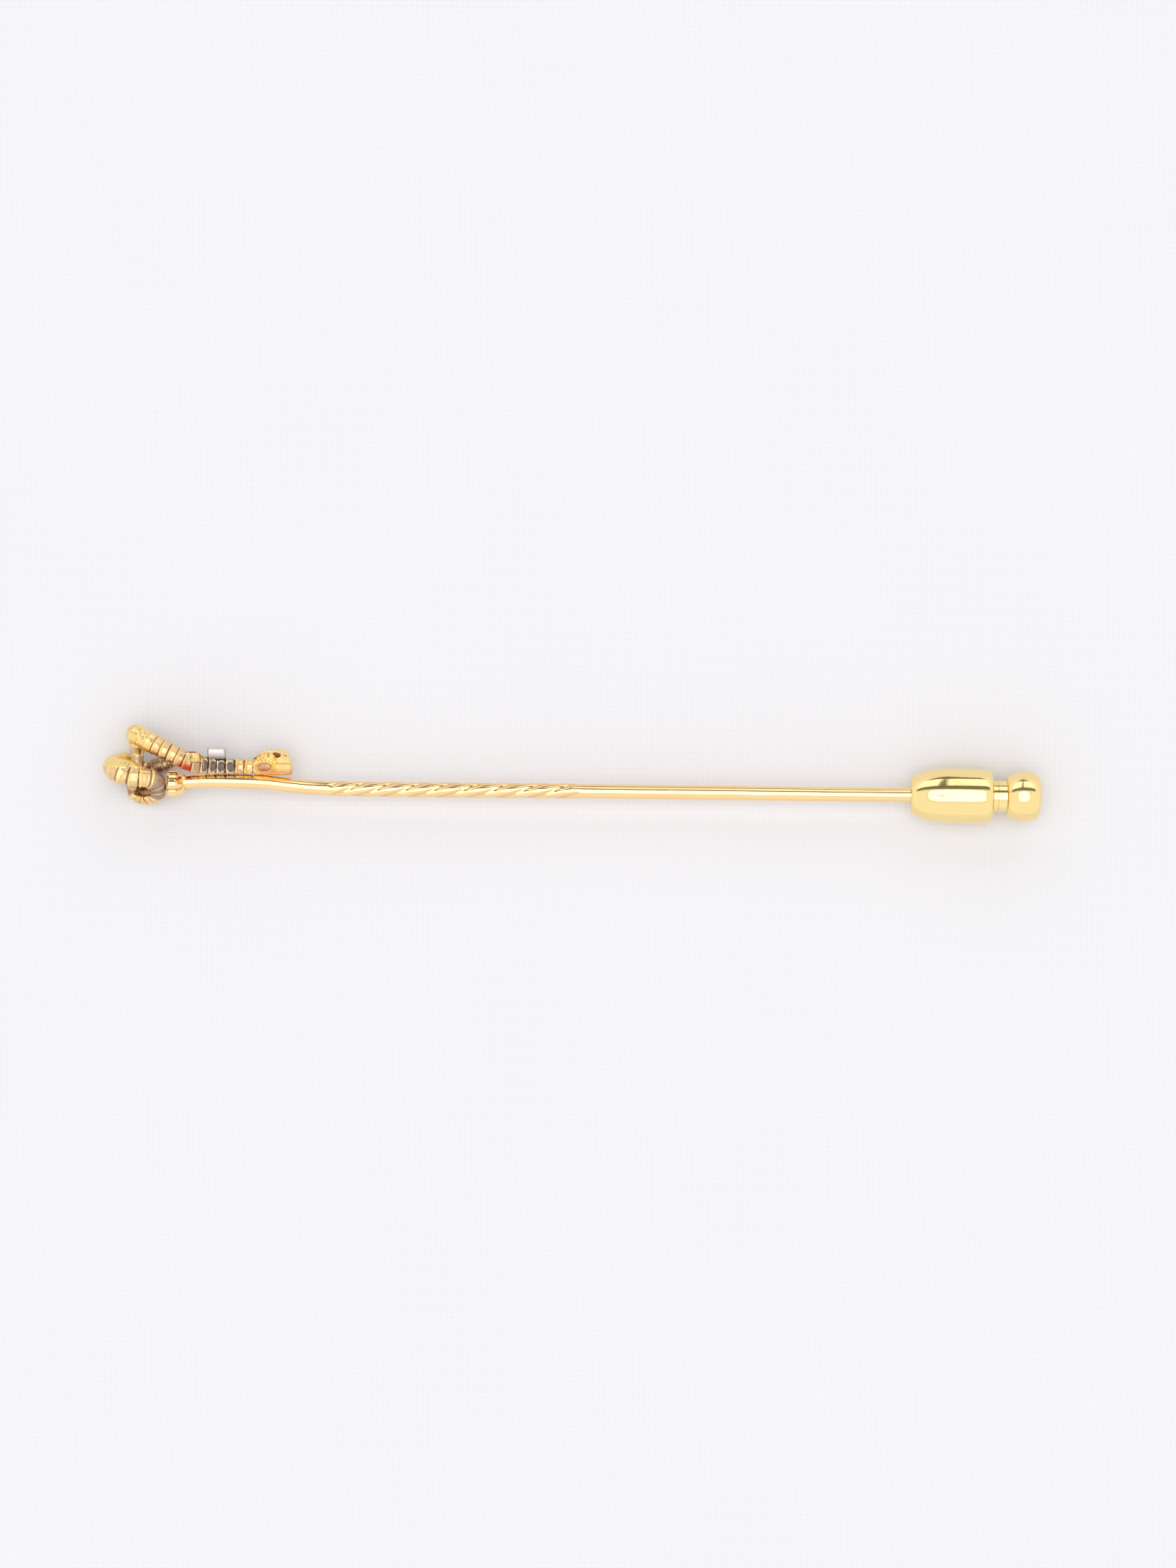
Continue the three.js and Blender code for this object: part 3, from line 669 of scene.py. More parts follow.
# Where each part of the knot lies, as shares of its length from the neck.
TOP_TURN = (0.27, 0.38)
COLUMN = (0.38, 0.49)
UNDER_LOOP = (0.49, 0.6)
RIGHT_TURN = (0.6, 0.665)
RING = (0.63, 0.765)
NEAR_ARM = (0.63, 0.8)
LEFT_TURN = (0.68, 0.8)
RING_TOP = (0.64, 0.86)
LOOP_INNER_SIDE = (0.48, 0.61)
BESIDE_FOOT = (0.5, 0.72)
ARM_FOOT = (0.12, 0.2)
TAIL = (0.91, 1.05)
NECK_AND_ARM_END = 0.25
SLEEVE_SEARCH_END = 0.3

EDGE_HEIGHT = 1.42  # of the bright ridge round the ring's smooth top
# Red light of the ruby, painted on the arm's gold beside it.
PAINTED_RUBY_LIGHT = [(5.93, 1.42, 0.36, 0.4), (6.42, 1.2, 0.26, 0.4)]  # x, y, and reach along each


def zone(stretch, soft=0.015):
    """1 along a stretch of the knot, fading over soft at each end; one value for each ring."""
    rise = smoothstep(knot_share, stretch[0] - soft, stretch[0] + soft)
    return rise * (1 - smoothstep(knot_share, stretch[1] - soft, stretch[1] + soft))


def rib_numbers():
    """How many ribs lie before each ring of the knot; the neck's and the ring's are the longest."""
    pitch = np.interp(knot_share, [0, 0.11, 0.14, 0.58, 0.66, 1], [0.69, 0.69, 0.6, 0.6, 0.72, 0.66])
    step = np.diff(knot_run, prepend=0)
    return np.cumsum(step / pitch)


def rib_shape(angles, seed):
    """Height of the ribs, 0 to 1. Each is a cup with a rolled rim on the tail's side."""
    rng = np.random.default_rng(seed)
    count = rib_numbers()
    ribs = int(count[-1]) + 3
    lean = rng.uniform(-0.08, 0.08, ribs)
    way = rng.uniform(0, 2 * math.pi, ribs)
    swell = rng.uniform(0.85, 1.0, ribs)
    i = count.astype(int)
    share = (count - i)[:, None] + lean[i][:, None] * np.cos(angles[None] - way[i][:, None])
    share = share - np.floor(share)
    groove = ridge(np.minimum(share, 1 - share), 0.055)
    rim = ridge(share - 0.82, 0.1)
    cup = 0.6 - 0.14 * np.sin(np.clip(share / 0.7, 0, 1) * math.pi) + 0.4 * rim
    return (1 - groove) * cup * swell[i][:, None], share, groove, rim


def ridge(distance, width):
    """1 where the distance is 0, falling to nothing about two widths away."""
    return np.exp(-((distance / width) ** 2))


def ribbed_body():
    """Rings of points over the whole knot, and the marks of its finish."""
    angles = np.linspace(0, 2 * math.pi, RING_SIDES, endpoint=False)
    centre = knot_line[:, None, :3]
    _, across = tube_points(knot_line[:, :3], (0, 1, 0), np.ones((len(knot_line), RING_SIDES)))
    ribs, share, groove, rim = rib_shape(angles, 4)
    radius = BODY_RADIUS * knot_line[:, 3:4]
    ring = zone(RING)[:, None]
    # The ring is squarer than the rest.
    boxed = superellipse(np.arctan2(across[..., 2], across[..., 1]), 3.0)
    radii = radius * (1 + (np.minimum(boxed, 1.12) - 1) * 0.7 * ring)
    # The left turn's upper face reaches inwards and narrows the ring's hole.
    inwards = smoothstep(across @ np.array([0, 0.8, -0.6]), 0.3, 0.95)
    inwards = inwards * (zone(LEFT_TURN) * (1 - smoothstep(knot_line[:, 0], 2.0, 3.3)))[:, None]
    radii = radii + 0.42 * inwards
    # Ribs fade on the top turn, the column and the ring's smooth top, whose edge is a bright ridge.
    height = centre[..., 1] + across[..., 1] * radii
    top = smoothstep(height, EDGE_HEIGHT, 1.5) * zone(RING_TOP)[:, None]
    near_side = smoothstep(across[..., 2], 0.0, 0.3) * zone(NEAR_ARM)[:, None]
    edge = ridge(height - EDGE_HEIGHT, 0.05) * near_side * smoothstep(centre[..., 0], 0.5, 0.9)
    smooth = 0.55 * zone(TOP_TURN) + 0.75 * zone(COLUMN) + 0.6 * zone(TAIL)
    soft = np.clip(smooth[:, None] + 0.92 * top, 0, 0.95)
    relief = RIB_DEPTH * (1 - soft) * knot_line[:, 3:4] ** 0.5
    # Each rib of the neck has a flat oval face on both sides.
    neck = (1 - smoothstep(knot_share, 0.13, 0.17))[:, None]
    face_reach = np.hypot((share - 0.36) / 0.42, (across[..., 1] + 0.12) / 0.78)
    face = (1 - smoothstep(face_reach, 0.86, 1.0)) * smoothstep(np.abs(across[..., 2]), 0.2, 0.5) * neck
    lip = ridge(face_reach - 1.08, 0.13) * smoothstep(np.abs(across[..., 2]), 0.1, 0.4) * neck
    # The under loop's near side is hollow, and painted dark as shade.
    hollow = smoothstep(height, -0.85, -0.6) * smoothstep(across[..., 2], -0.6, 0.3)
    hollow = zone(UNDER_LOOP, 0.03)[:, None] * hollow
    # Its inner side swells and closes the loop, and the neck's underside swells down to the stem.
    inner = smoothstep(across[..., 1], 0.1, 0.8) * zone(LOOP_INNER_SIDE, 0.02)[:, None]
    radii = radii + 0.07 * smoothstep(-across[..., 1], 0.2, 0.9) * neck
    radii = radii + 0.34 * inner - relief * (1 - ribs) - 0.05 * face
    radii = radii + 0.035 * lip + 0.08 * edge - 0.16 * hollow
    rings = centre + across * radii[..., None]
    rings = rings + across * (0.022 * lumps(rings, 0.3, 7.0))[..., None]
    # The right turn lies flat against the foot.
    flat = FOOT_X - SEAT_GAP
    soft_edge = 0.12
    over = np.clip(rings[..., 0] - (flat - soft_edge), 0, None) * zone(BESIDE_FOOT)[:, None]
    rings[..., 0] -= over - soft_edge * np.tanh(over / soft_edge)
    # Marked darker: the grooves and cup faces, and as painted shade the hollow and the loop's closed inner
    # side.
    patina_and_shade = 0.8 * groove * (1 - soft) + 0.52 * (1 - rim) * (1 - soft) * (1 - edge)
    patina_and_shade = patina_and_shade + 0.9 * hollow + 1.2 * inner
    # Purple-grey: painted shade and dark reflection on the right turn and the tail, a lighter purple film on
    # the column, the arm's foot and the neck's faces.
    purple_film_and_shade = zone(RIGHT_TURN, 0.02) + zone(TAIL) + 0.5 * zone(COLUMN) + 0.35 * zone(ARM_FOOT, 0.03)
    purple_film_and_shade = purple_film_and_shade[:, None] * (1 - 0.5 * rim) + 0.5 * face * (1 - smoothstep(centre[..., 0], 9.9, 10.4))
    # Painted light: red cast by the ruby on the arm, and a pink reflection of it on the top edge by the
    # sleeve.
    red = sum(
        np.exp(-(((rings[..., 0] - x) / rx) ** 2) - ((rings[..., 1] - y) / ry) ** 2)
        for x, y, rx, ry in PAINTED_RUBY_LIGHT
    )
    on_arm = (knot_share < NECK_AND_ARM_END)[:, None]
    red = 1.25 * red * on_arm * (1 - 0.7 * rim)
    ruby_reflection_paint = 0.5 * ridge(rings[..., 0] - 7.45, 0.4) * smoothstep(across[..., 1], 0.5, 0.8)
    marks = {
        "patina_and_shade": np.clip(patina_and_shade, 0, 1),
        "purple_film_and_shade": np.clip(purple_film_and_shade, 0, 1),
        "red": np.clip(red + ruby_reflection_paint * on_arm, 0, 1),
        "gilt": np.clip(lip + rim * 0.8, 0, 1),
        "face": face,
    }
    return rings, marks


knot_rings, knot_marks = ribbed_body()


def with_ends(values):
    return np.concatenate([values.ravel(), [0.5, 0.5]])


def snake_body(finish):
    """The whole length of the body, waisted where the sleeve covers it."""
    x = knot_line[:, 0]
    covered = (knot_share < SLEEVE_SEARCH_END) & (x > SLEEVE[0] + 0.05) & (x < SLEEVE[1] - 0.05)
    centre = knot_line[:, None, :3]
    rings = np.where(covered[:, None, None], centre + (knot_rings - centre) * 0.7, knot_rings)
    marks = {name: with_ends(knot_marks[name]) for name in ("patina_and_shade", "purple_film_and_shade", "red")}
    made = closed_tube("snake_coil", rings, "pin", finish, marks)
    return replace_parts(made, "snake_body")


# White grains along the sleeve's lower edge: place along the pin, half length, lean in degrees.
GRAINS = [
    (7.4, 0.13, 30),
    (8.3, 0.12, 40),
    (8.95, 0.14, 25),
    (9.3, 0.17, 35),
    (9.92, 0.15, 0),
    (10.25, 0.15, 55),
]


def silver_sleeve(finish, pale):
    """The grey length of body: broad ribs with dark oval faces, edged with gold, and white grains."""
    x = knot_line[:, 0]
    keep = (knot_share < SLEEVE_SEARCH_END) & (x > SLEEVE[0]) & (x < SLEEVE[1])
    centre = knot_line[keep][:, None, :3]
    rings = centre + (knot_rings[keep] - centre) * 1.02
    marks = {name: with_ends(knot_marks[name][keep]) for name in ("patina_and_shade", "gilt", "face")}
    made = closed_tube("sleeve", rings, "pin", finish, marks)
    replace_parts(made, "silver_sleeve")
    for k, (place, reach, lean) in enumerate(GRAINS):
        i = np.argmin(np.abs(x - place) + (knot_share > SLEEVE_SEARCH_END) * 99)
        radius = BODY_RADIUS * knot_line[i, 3]
        down = math.radians(52)
        grain = knot_line[i, :3] + (radius - 0.03) * np.array([0, -math.sin(down), math.cos(down)])
        size = (0.09, reach * 1.1, 0.1)
        rounded_lump(f"grain_{k + 1}", grain, size, "pin", pale, 0.15, k, math.radians(lean))
    return made


# The head, seen from its side: x from the neck, y from the jaw's underside.
HEAD_SHAPE = [  # along, top, bottom, half width
    (0.0, 1.3, 0.04, 0.56),
    (0.23, 1.47, 0.02, 0.7),
    (0.63, 1.7, 0.0, 0.92),
    (1.15, 1.88, 0.0, 1.04),
    (1.7, 1.93, 0.0, 1.02),
    (2.1, 1.9, 0.0, 0.94),
    (2.41, 1.76, 0.0, 0.85),
    (2.62, 1.5, 0.0, 0.75),
    (2.76, 1.2, 0.02, 0.62),
    (2.84, 0.95, 0.08, 0.45),
    (2.87, 0.75, 0.2, 0.25),
]
EYE = (1.7, 1.47)
JAW = (0.82, 0.58)
# Lines of carving, from the neck forwards.
CREST = [(0.0, 1.3), (0.35, 1.52), (0.8, 1.68), (1.25, 1.72), (1.7, 1.66), (2.2, 1.56)]
BROW = [(0.35, 1.36), (0.75, 1.52), (1.1, 1.58), (1.4, 1.5), (1.6, 1.42)]
MOUTH = [(2.9, 0.84), (2.5, 0.86), (2.1, 0.86), (1.8, 0.86)]
UPPER_LIP = [(2.3, 1.18), (1.85, 1.2)]
CURL = [
    (1.42, 0.98), (1.58, 1.08), (1.74, 0.98), (1.72, 0.8), (1.56, 0.72),
    (1.42, 0.74), (1.6, 0.6), (1.64, 0.44), (1.5, 0.3),
]
SCALES = [  # x, y and reach of each
    (0.15, 1.0, 0.1), (0.45, 1.02, 0.09), (0.72, 1.04, 0.09), (0.3, 1.24, 0.09), (0.55, 1.26, 0.08),
    (0.82, 1.28, 0.09), (1.08, 1.22, 0.1), (1.3, 1.22, 0.09), (0.68, 1.42, 0.07), (0.95, 1.44, 0.08),
    (1.15, 1.02, 0.08), (0.98, 1.1, 0.07),
]


def from_path(x, y, path):
    """Distance from each point to a run of straight stretches."""
    best = np.full(x.shape, 1e9)
    for (ax, ay), (bx, by) in zip(path, path[1:]):
        length = (bx - ax) ** 2 + (by - ay) ** 2
        t = np.clip(((x - ax) * (bx - ax) + (y - ay) * (by - ay)) / length, 0, 1)
        best = np.minimum(best, np.hypot(x - ax - t * (bx - ax), y - ay - t * (by - ay)))
    return best


def head_relief(x, y):
    """Height of the carving on each side of the head, and how deep its shadows are."""
    eye = np.hypot(x - EYE[0], (y - EYE[1]) * 1.9)
    jaw = np.hypot((x - JAW[0]) / 0.6, (y - JAW[1] - 0.05 * (x - JAW[0])) / 0.33)
    crest = ridge(from_path(x, y, CREST), 0.09)
    brow = ridge(from_path(x, y, BROW), 0.06)
    mouth = ridge(from_path(x, y, MOUTH), 0.05)
    lip = ridge(from_path(x, y, UPPER_LIP), 0.09)
    curl = ridge(from_path(x, y, CURL), 0.06)
    rim = ridge(jaw - 1, 0.14)
    nostril = ridge(np.hypot((x - 2.4) * 0.8, y - 1.46 + 0.4 * (x - 2.4)), 0.07)
    socket = ridge(eye, 0.28)
    lid = ridge(eye - 0.4, 0.09)
    scales = sum(ridge(np.hypot(x - sx, y - sy), reach) for sx, sy, reach in SCALES)
    dip = ridge(np.hypot(x - 1.62, y - 1.24), 0.12)
    chin = ridge(from_path(x, y, [(px, py - 0.12) for px, py in MOUTH]), 0.06)
    height = 0.2 * crest + 0.12 * brow + 0.1 * lip + 0.15 * curl + 0.14 * rim + 0.08 * lid
    height = height + 0.11 * scales - 0.07 * mouth - 0.12 * nostril - 0.14 * socket - 0.12 * dip
    height = height - 0.08 * smoothstep(1 - jaw, 0, 0.4) + 0.05 * chin
    inside = smoothstep(1 - jaw, 0.02, 0.3)
    gap = ridge(from_path(x, y, [(px + 0.05, py - 0.13) for px, py in CREST]), 0.06)
    field = smoothstep(1.35 - x, 0, 0.2) * smoothstep(y, 0.92, 1.05) * (1 - np.clip(scales, 0, 1))
    shade = 0.45 * mouth + 0.9 * nostril + 0.95 * socket + 0.6 * inside + 0.75 * gap + 0.8 * dip
    shade = shade + 0.75 * field + 0.5 * (1 - smoothstep(y, 0.1, 0.55)) * (1 - 0.6 * smoothstep(x, 1.5, 1.9))
    bright = np.clip(crest + brow + lip + curl + rim + lid + scales, 0, 1)
    return height, np.clip(shade - 0.8 * bright, 0, 1), inside


def snake_head(finish):
    low, high = (own(p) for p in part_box("snake_head"))
    mid_z = (low[2] + high[2]) / 2
    shape, _ = smooth_line(HEAD_SHAPE, 260)
    angles = np.linspace(0, 2 * math.pi, 260, endpoint=False)
    outline = superellipse(angles, 2.7)
    up = (np.sin(angles) * outline)[None]
    out = (np.cos(angles) * outline)[None]
    x = np.repeat(shape[:, :1], len(angles), 1)
    y = (shape[:, 1:2] + shape[:, 2:3]) / 2 + up * (shape[:, 1:2] - shape[:, 2:3]) / 2
    z = out * shape[:, 3:4]
    height, shade, inside = head_relief(x, y)
    side = smoothstep(np.abs(out), 0.25, 0.7)
    height = height * side * 1.15
    points = np.stack([x, y, z], -1)
    points[..., 2] += np.sign(z) * height
    points[..., 1] += up * height * 0.3
    points += 0.012 * lumps(points, 0.3, 3.0)[..., None]
    points += np.array([low[0], low[1] - HEAD_DROP, mid_z])
    # Painted shade: warm orange under the jaw, dark in the carving's hollows, purple-grey inside the jaw's
    # oval.
    under = 0.42 * (1 - smoothstep(y, 0.15, 0.6)) * smoothstep(x, 0.3, 0.7)
    marks = {
        "patina_and_shade": with_ends(1.2 * shade * side),
        "purple_film_and_shade": with_ends(0.35 * inside * side),
        "red": with_ends(under * side),
    }
    made = closed_tube("head", points, "pin", finish, marks)
    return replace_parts(made, "snake_head")


def eyes(finish):
    """Almond eyes of dark stone under the brow."""
    for node in ("eye_left", "eye_right"):
        low, high = (own(p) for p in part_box(node))
        radii = (high - low) / 2 * np.array((1.25, 0.62, 0.9))
        made = rounded_lump(node + "_gem", (low + high) / 2, radii, "pin", finish, 0.02)
        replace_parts(made, node)


# ---------------------------------------------------------------- stones and settings


def facet_stone(name, node, rows, body, finish):
    """A cut stone that faces +y: each row is its height share, its width share, sides and turn."""
    low, high = (own(p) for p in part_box(node))
    centre = (low + high) / 2
    reach = (high - low)[0] / 2
    points = []
    for up, wide, sides, turn in rows:
        for j in range(sides):
            a = 2 * math.pi * (j + turn) / sides
            flat = (centre[0] + reach * wide * math.cos(a), centre[2] + reach * wide * math.sin(a))
            points.append((flat[0], low[1] + up * (high - low)[1], flat[1]))
    b = bmesh.new()
    for p in points:
        b.verts.new(p)
    bmesh.ops.convex_hull(b, input=b.verts)
    b.verts.index_update()
    solid = [tuple(v.co) for v in b.verts if v.link_faces]
    index = {v: i for i, v in enumerate(v for v in b.verts if v.link_faces)}
    faces = [tuple(index[v] for v in f.verts) for f in b.faces]
    b.free()
    made = mesh_object(name, solid, faces, body, finish, smooth=False)
    make_outward(made.data)
    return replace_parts(made, node)


def ring_wall(centre, top, bottom, outline, wall, flare, lean):
    """Rings of points for a wall that stands along y: outside up, a rounded lip, inside down."""
    steps = [
        (bottom, 1 - flare, 0),
        (bottom + 0.35 * (top - bottom), 1 - 0.3 * flare, 0),
        (top - 0.05, 1.0, 0),
        (top - 0.015, 1.0, 0.2),
        (top, 1.0, 0.5),
        (top - 0.015, 1.0, 0.8),
        (top - 0.06, 1.0, 1.0),
        (bottom + 0.5 * (top - bottom), 1 - 0.3 * flare, 1.0),
        (bottom, 1 - flare, 1.0),
    ]
    rings = []
    for y, share, inward in steps:
        reach = outline * share - wall * inward
        ring = [
            (centre[0] + r * math.cos(a), y, centre[2] + r * math.sin(a) * (1 - lean * (top - y)))
            for r, a in zip(reach, np.linspace(0, 2 * math.pi, len(outline), endpoint=False))
        ]
        rings.append(ring)
    return np.array(rings)


FOOT_SINK = 0.08  # how far a setting's wall runs down into the body


def setting(name, node, outline, wall, flare, finish, claws, lean=0.0):
    """A collet with a rounded lip, and claws over the stone's edge where the angles in claws say."""
    low, high = (own(p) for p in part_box(node))
    centre = (low + high) / 2
    rings = ring_wall(centre, high[1], low[1] - FOOT_SINK, outline, wall, flare, lean)
    faces = grid_faces(*rings.shape[:2], close_rows=True)
    points = rings.reshape(-1, 3)
    # Painted shade down the wall's foot, where it meets the body, and down its inside.
    patina_and_shade = np.repeat(np.array([0.9, 0.1, 0, 0, 0, 0.1, 0.3, 0.7, 1.0])[:, None], len(outline), 1)
    marks = {"patina_and_shade": patina_and_shade}
    made = mesh_object(name, points, faces, "pin", finish, marks)
    make_outward(made.data)
    crease(made, 50)
    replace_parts(made, node)
    for k, angle in enumerate(claws):
        around = np.linspace(0, 2 * math.pi, len(outline) + 1)
        reach = np.interp(angle % (2 * math.pi), around, [*outline, outline[0]])
        place = centre + (reach - wall * 0.75) * np.array([math.cos(angle), 0, math.sin(angle)])
        place[1] = high[1] - 0.06
        rounded_lump(f"{name}_claw_{k + 1}", place, (0.1, 0.12, 0.1), "pin", finish, 0.1, k)
    return made


def stones(gold, pale, ruby, diamond):
    angles = np.linspace(0, 2 * math.pi, 96, endpoint=False)
    low, high = (own(p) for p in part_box("ruby_collet"))
    reach = (high - low)[0] / 2
    milled = reach * (0.93 - 0.01 * np.cos(16 * angles))
    setting("ruby_setting", "ruby_collet", milled, 0.14, -0.3, gold, [])
    round_cut = [
        (0.0, 0.1, 8, 0),
        (0.52, 0.97, 16, 0),
        (0.62, 0.97, 16, 0),
        (0.86, 0.78, 8, 0.5),
        (1.0, 0.55, 8, 0),
    ]
    facet_stone("ruby_cut", "ruby", round_cut, "pin", ruby)
    low, high = (own(p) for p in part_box("diamond"))
    half = (high - low)[0] / 2 + 0.15
    square = half * superellipse(angles, 14)
    corners = [math.pi / 2 * (k + 0.5) for k in range(4)]
    setting("diamond_setting", "diamond_collet", square, 0.13, 0.05, pale, corners, 0.45)
    root = math.sqrt(2)
    square_cut = [
        (0.0, 0.2 * root, 4, 0.5),
        (0.3, 0.62 * root, 4, 0.5),
        (0.66, 0.98 * root, 4, 0.5),
        (0.76, 0.98 * root, 4, 0.5),
        (0.9, 0.8 * root, 4, 0.5),
        (1.0, 0.56 * root, 4, 0.5),
    ]
    facet_stone("diamond_cut", "diamond", square_cut, "pin", diamond)


# ---------------------------------------------------------------- the clutch

NOSE_X = own(barrel_low)[0]
BARREL_LENGTH = 6.15
BORE = 0.59
CHAMBER = 1.65
NECK_RADIUS = 1.17
NOSE_WALL = 0.42
CHAMBER_START = 2.893
LIP = 0.3
CONE_ANGLE = 18  # degrees, of the chamber's wall that wedges the balls
WIRE_RADIUS = 0.15
SPRING_TURNS = 3


def clutch_barrel(finish):
    """A long swelling nose, a barely crowned middle and a rounded rear, hollow inside."""
    r = BARREL_RADIUS
    cone_start = CHAMBER - (CHAMBER_START - NOSE_WALL) * math.tan(math.radians(CONE_ANGLE))
    profile = [
        (0.05, BORE + 0.01),
        (0, BORE + 0.06),
        (0, 1.2),
        *arc(0.1, 1.2, 0.1, 180, 140, 4),
        *bend([(0.04, 1.29), (0.5, 1.74), (1.5, r - 0.05), (2.9, r - 0.012)], 30),
        *bend([(3.0, r - 0.01), (3.6, r), (4.4, r), (BARREL_LENGTH - 0.8, r - 0.03)], 16),
        *bend([(5.4, r - 0.035), (5.85, r - 0.06), (BARREL_LENGTH, r - 0.2), (BARREL_LENGTH, r - 0.62)], 18),
        (BARREL_LENGTH, 1.36),
        *arc(BARREL_LENGTH - 0.06, 1.33, 0.06, 90, 180, 4),
        (BARREL_LENGTH - LIP, 1.27),
        (BARREL_LENGTH - LIP, CHAMBER),
        (CHAMBER_START, CHAMBER),
        (NOSE_WALL, cone_start),
        (NOSE_WALL, BORE),
    ]
    made = turned("barrel_shell", profile, "barrel", finish, 160, NOSE_X)
    crease(made)
    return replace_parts(made, "clutch_barrel")


def clutch_knob(finish):
    """A round knob with a flat end, on a socket that takes the plunger's neck."""
    low, high = (own(p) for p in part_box("clutch_knob"))
    r = (high - low)[1] / 2
    end = high[0] - low[0]
    floor = end - 0.9
    socket = NECK_RADIUS + 0.03
    profile = [
        (floor, 0),
        (floor, socket),
        (0.04, socket),
        (0, socket + 0.04),
        *bend([(0, socket + 0.1), (0, socket + 0.3), (0.6, r), (1.25, r)], 24),
        *bend([(1.25, r), (1.8, r), (end - 0.08, 0.94 * r), (end - 0.03, 0.66 * r)], 24),
        *bend([(end - 0.02, 0.62 * r), (end, 0.58 * r), (end, 0.5 * r), (end, 0.4 * r)], 8),
        (end, 0),
    ]
    made = turned("knob", profile, "plunger", finish, 144, low[0])
    crease(made)
    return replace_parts(made, "clutch_knob")


def plunger(finish):
    """The ball cage, flange and neck in one, with three ball holes; the neck has a turned collar."""
    low, high = (own(p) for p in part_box("plunger"))
    start = low[0] - NOSE_X
    end = high[0] - NOSE_X
    flange = CHAMBER_START + 0.05
    collar = BARREL_LENGTH + 0.28
    profile = [
        (start, BORE),
        (start, BORE + 0.22),
        (start + 0.06, BORE + 0.26),
        (flange, BORE + 0.26),
        (flange, CHAMBER - 0.05),
        (flange + 0.3, CHAMBER - 0.05),
        (flange + 0.3, NECK_RADIUS),
        (collar, NECK_RADIUS),
        (collar + 0.03, NECK_RADIUS - 0.03),
        (collar + 0.07, NECK_RADIUS - 0.03),
        (collar + 0.1, NECK_RADIUS),
        (end, NECK_RADIUS),
        (end, BORE),
    ]
    made = turned("ball_cage", profile, "plunger", finish, 96, NOSE_X)
    for k in range(3):
        cut_ball_hole(made, k)
    crease(made)
    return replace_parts(made, "plunger")


def cut_ball_hole(cage, k):
    """Cuts one round hole through the cage's wall."""
    low, high = (own(p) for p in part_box(f"grip_ball_{k + 1}"))
    ball = (low + high) / 2
    angle = math.atan2(ball[2], ball[1])
    out = np.array([0, math.cos(angle), math.sin(angle)])
    side = np.array([0, -math.sin(angle), math.cos(angle)])
    turn = np.linspace(0, 2 * math.pi, 32, endpoint=False)
    radius = (high - low)[0] / 2 + 0.02
    disc = radius * (np.cos(turn)[:, None] * np.array([1, 0, 0]) + np.sin(turn)[:, None] * side)
    rings = np.array([disc + np.array([ball[0], 0, 0]) + out * reach for reach in (0.3, 1.2)])
    points, faces = capped(rings, grid_faces(2, 32))
    mesh = bpy.data.meshes.new("hole")
    mesh.from_pydata([tuple(p) for p in in_frame(points)], [], faces)
    make_outward(mesh)
    cutter = bpy.data.objects.new("hole", mesh)
    bpy.context.scene.collection.objects.link(cutter)
    cut = cage.modifiers.new("hole", "BOOLEAN")
    cut.object = cutter
    cut.operation = "DIFFERENCE"
    cut.solver = "EXACT"
    with bpy.context.temp_override(object=cage, active_object=cage):
        bpy.ops.object.modifier_apply(modifier=cut.name)
    bpy.data.objects.remove(cutter)


def retaining_ring(finish):
    low, high = (own(p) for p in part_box("retaining_ring"))
    x = low[0]
    width = high[0] - low[0]
    outer = (high - low)[1] / 2
    hole = NECK_RADIUS + 0.05
    profile = [
        (0, hole + 0.04),
        (0, outer - 0.05),
        (0.05, outer),
        (width - 0.05, outer),
        (width, outer - 0.05),
        (width, hole + 0.04),
        (width - 0.04, hole),
        (0.04, hole),
    ]
    made = turned("bush", profile, "barrel", finish, 96, x)
    crease(made)
    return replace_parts(made, "retaining_ring")


def clutch_spring(finish):
    """Round wire, three turns, which shortens towards the retaining ring as the knob is pulled."""
    low, high = (own(p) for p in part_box("clutch_spring"))
    coil = NECK_RADIUS + 0.09 + WIRE_RADIUS
    turn = np.linspace(0, 2 * math.pi * SPRING_TURNS, 260)
    x = np.linspace(low[0] + WIRE_RADIUS, high[0] - WIRE_RADIUS, len(turn))
    line = np.stack([x, coil * np.cos(turn), coil * np.sin(turn)], 1)
    rings, _ = tube_points(line, (0, 1, 0), np.full((len(turn), 20), WIRE_RADIUS))
    made = closed_tube("spring_wire", rings, "spring", finish)
    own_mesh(made)
    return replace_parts(made, "clutch_spring")


BALL_SHARE = 0.96  # of the solid ball, so that it clears its holes as the knob turns


def grip_balls(finish):
    for k in range(3):
        node = f"grip_ball_{k + 1}"
        low, high = (own(p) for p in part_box(node))
        radii = BALL_SHARE * (high - low) / 2
        body = f"ball_{k + 1}"
        made = rounded_lump(body, (low + high) / 2, radii, body, finish, 0)
        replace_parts(made, node)


# ---------------------------------------------------------------- floor, light and camera


# Directions in the studio, in degrees.
LENS_SWING = 6.5  # the lens stands over the middle of the pin, and the clutch sees it from beside
WINDOW_FRAME = (28.5, 95)
WINDOW_GLASS = (44, 76)
WIDE_BAR = (-6.5, 4.5)
THIN_BAR = (11.9, 12.6)


def floor():
    mesh = bpy.data.meshes.new("floor")
    reach = 1.5
    corners = [(-reach, -reach, 0), (reach, -reach, 0), (reach, reach, 0), (-reach, reach, 0)]
    mesh.from_pydata(corners, [], [(0, 1, 2, 3)])
    mesh.materials.append(cloth())
    made = bpy.data.objects.new("floor", mesh)
    bpy.context.scene.collection.objects.link(made)


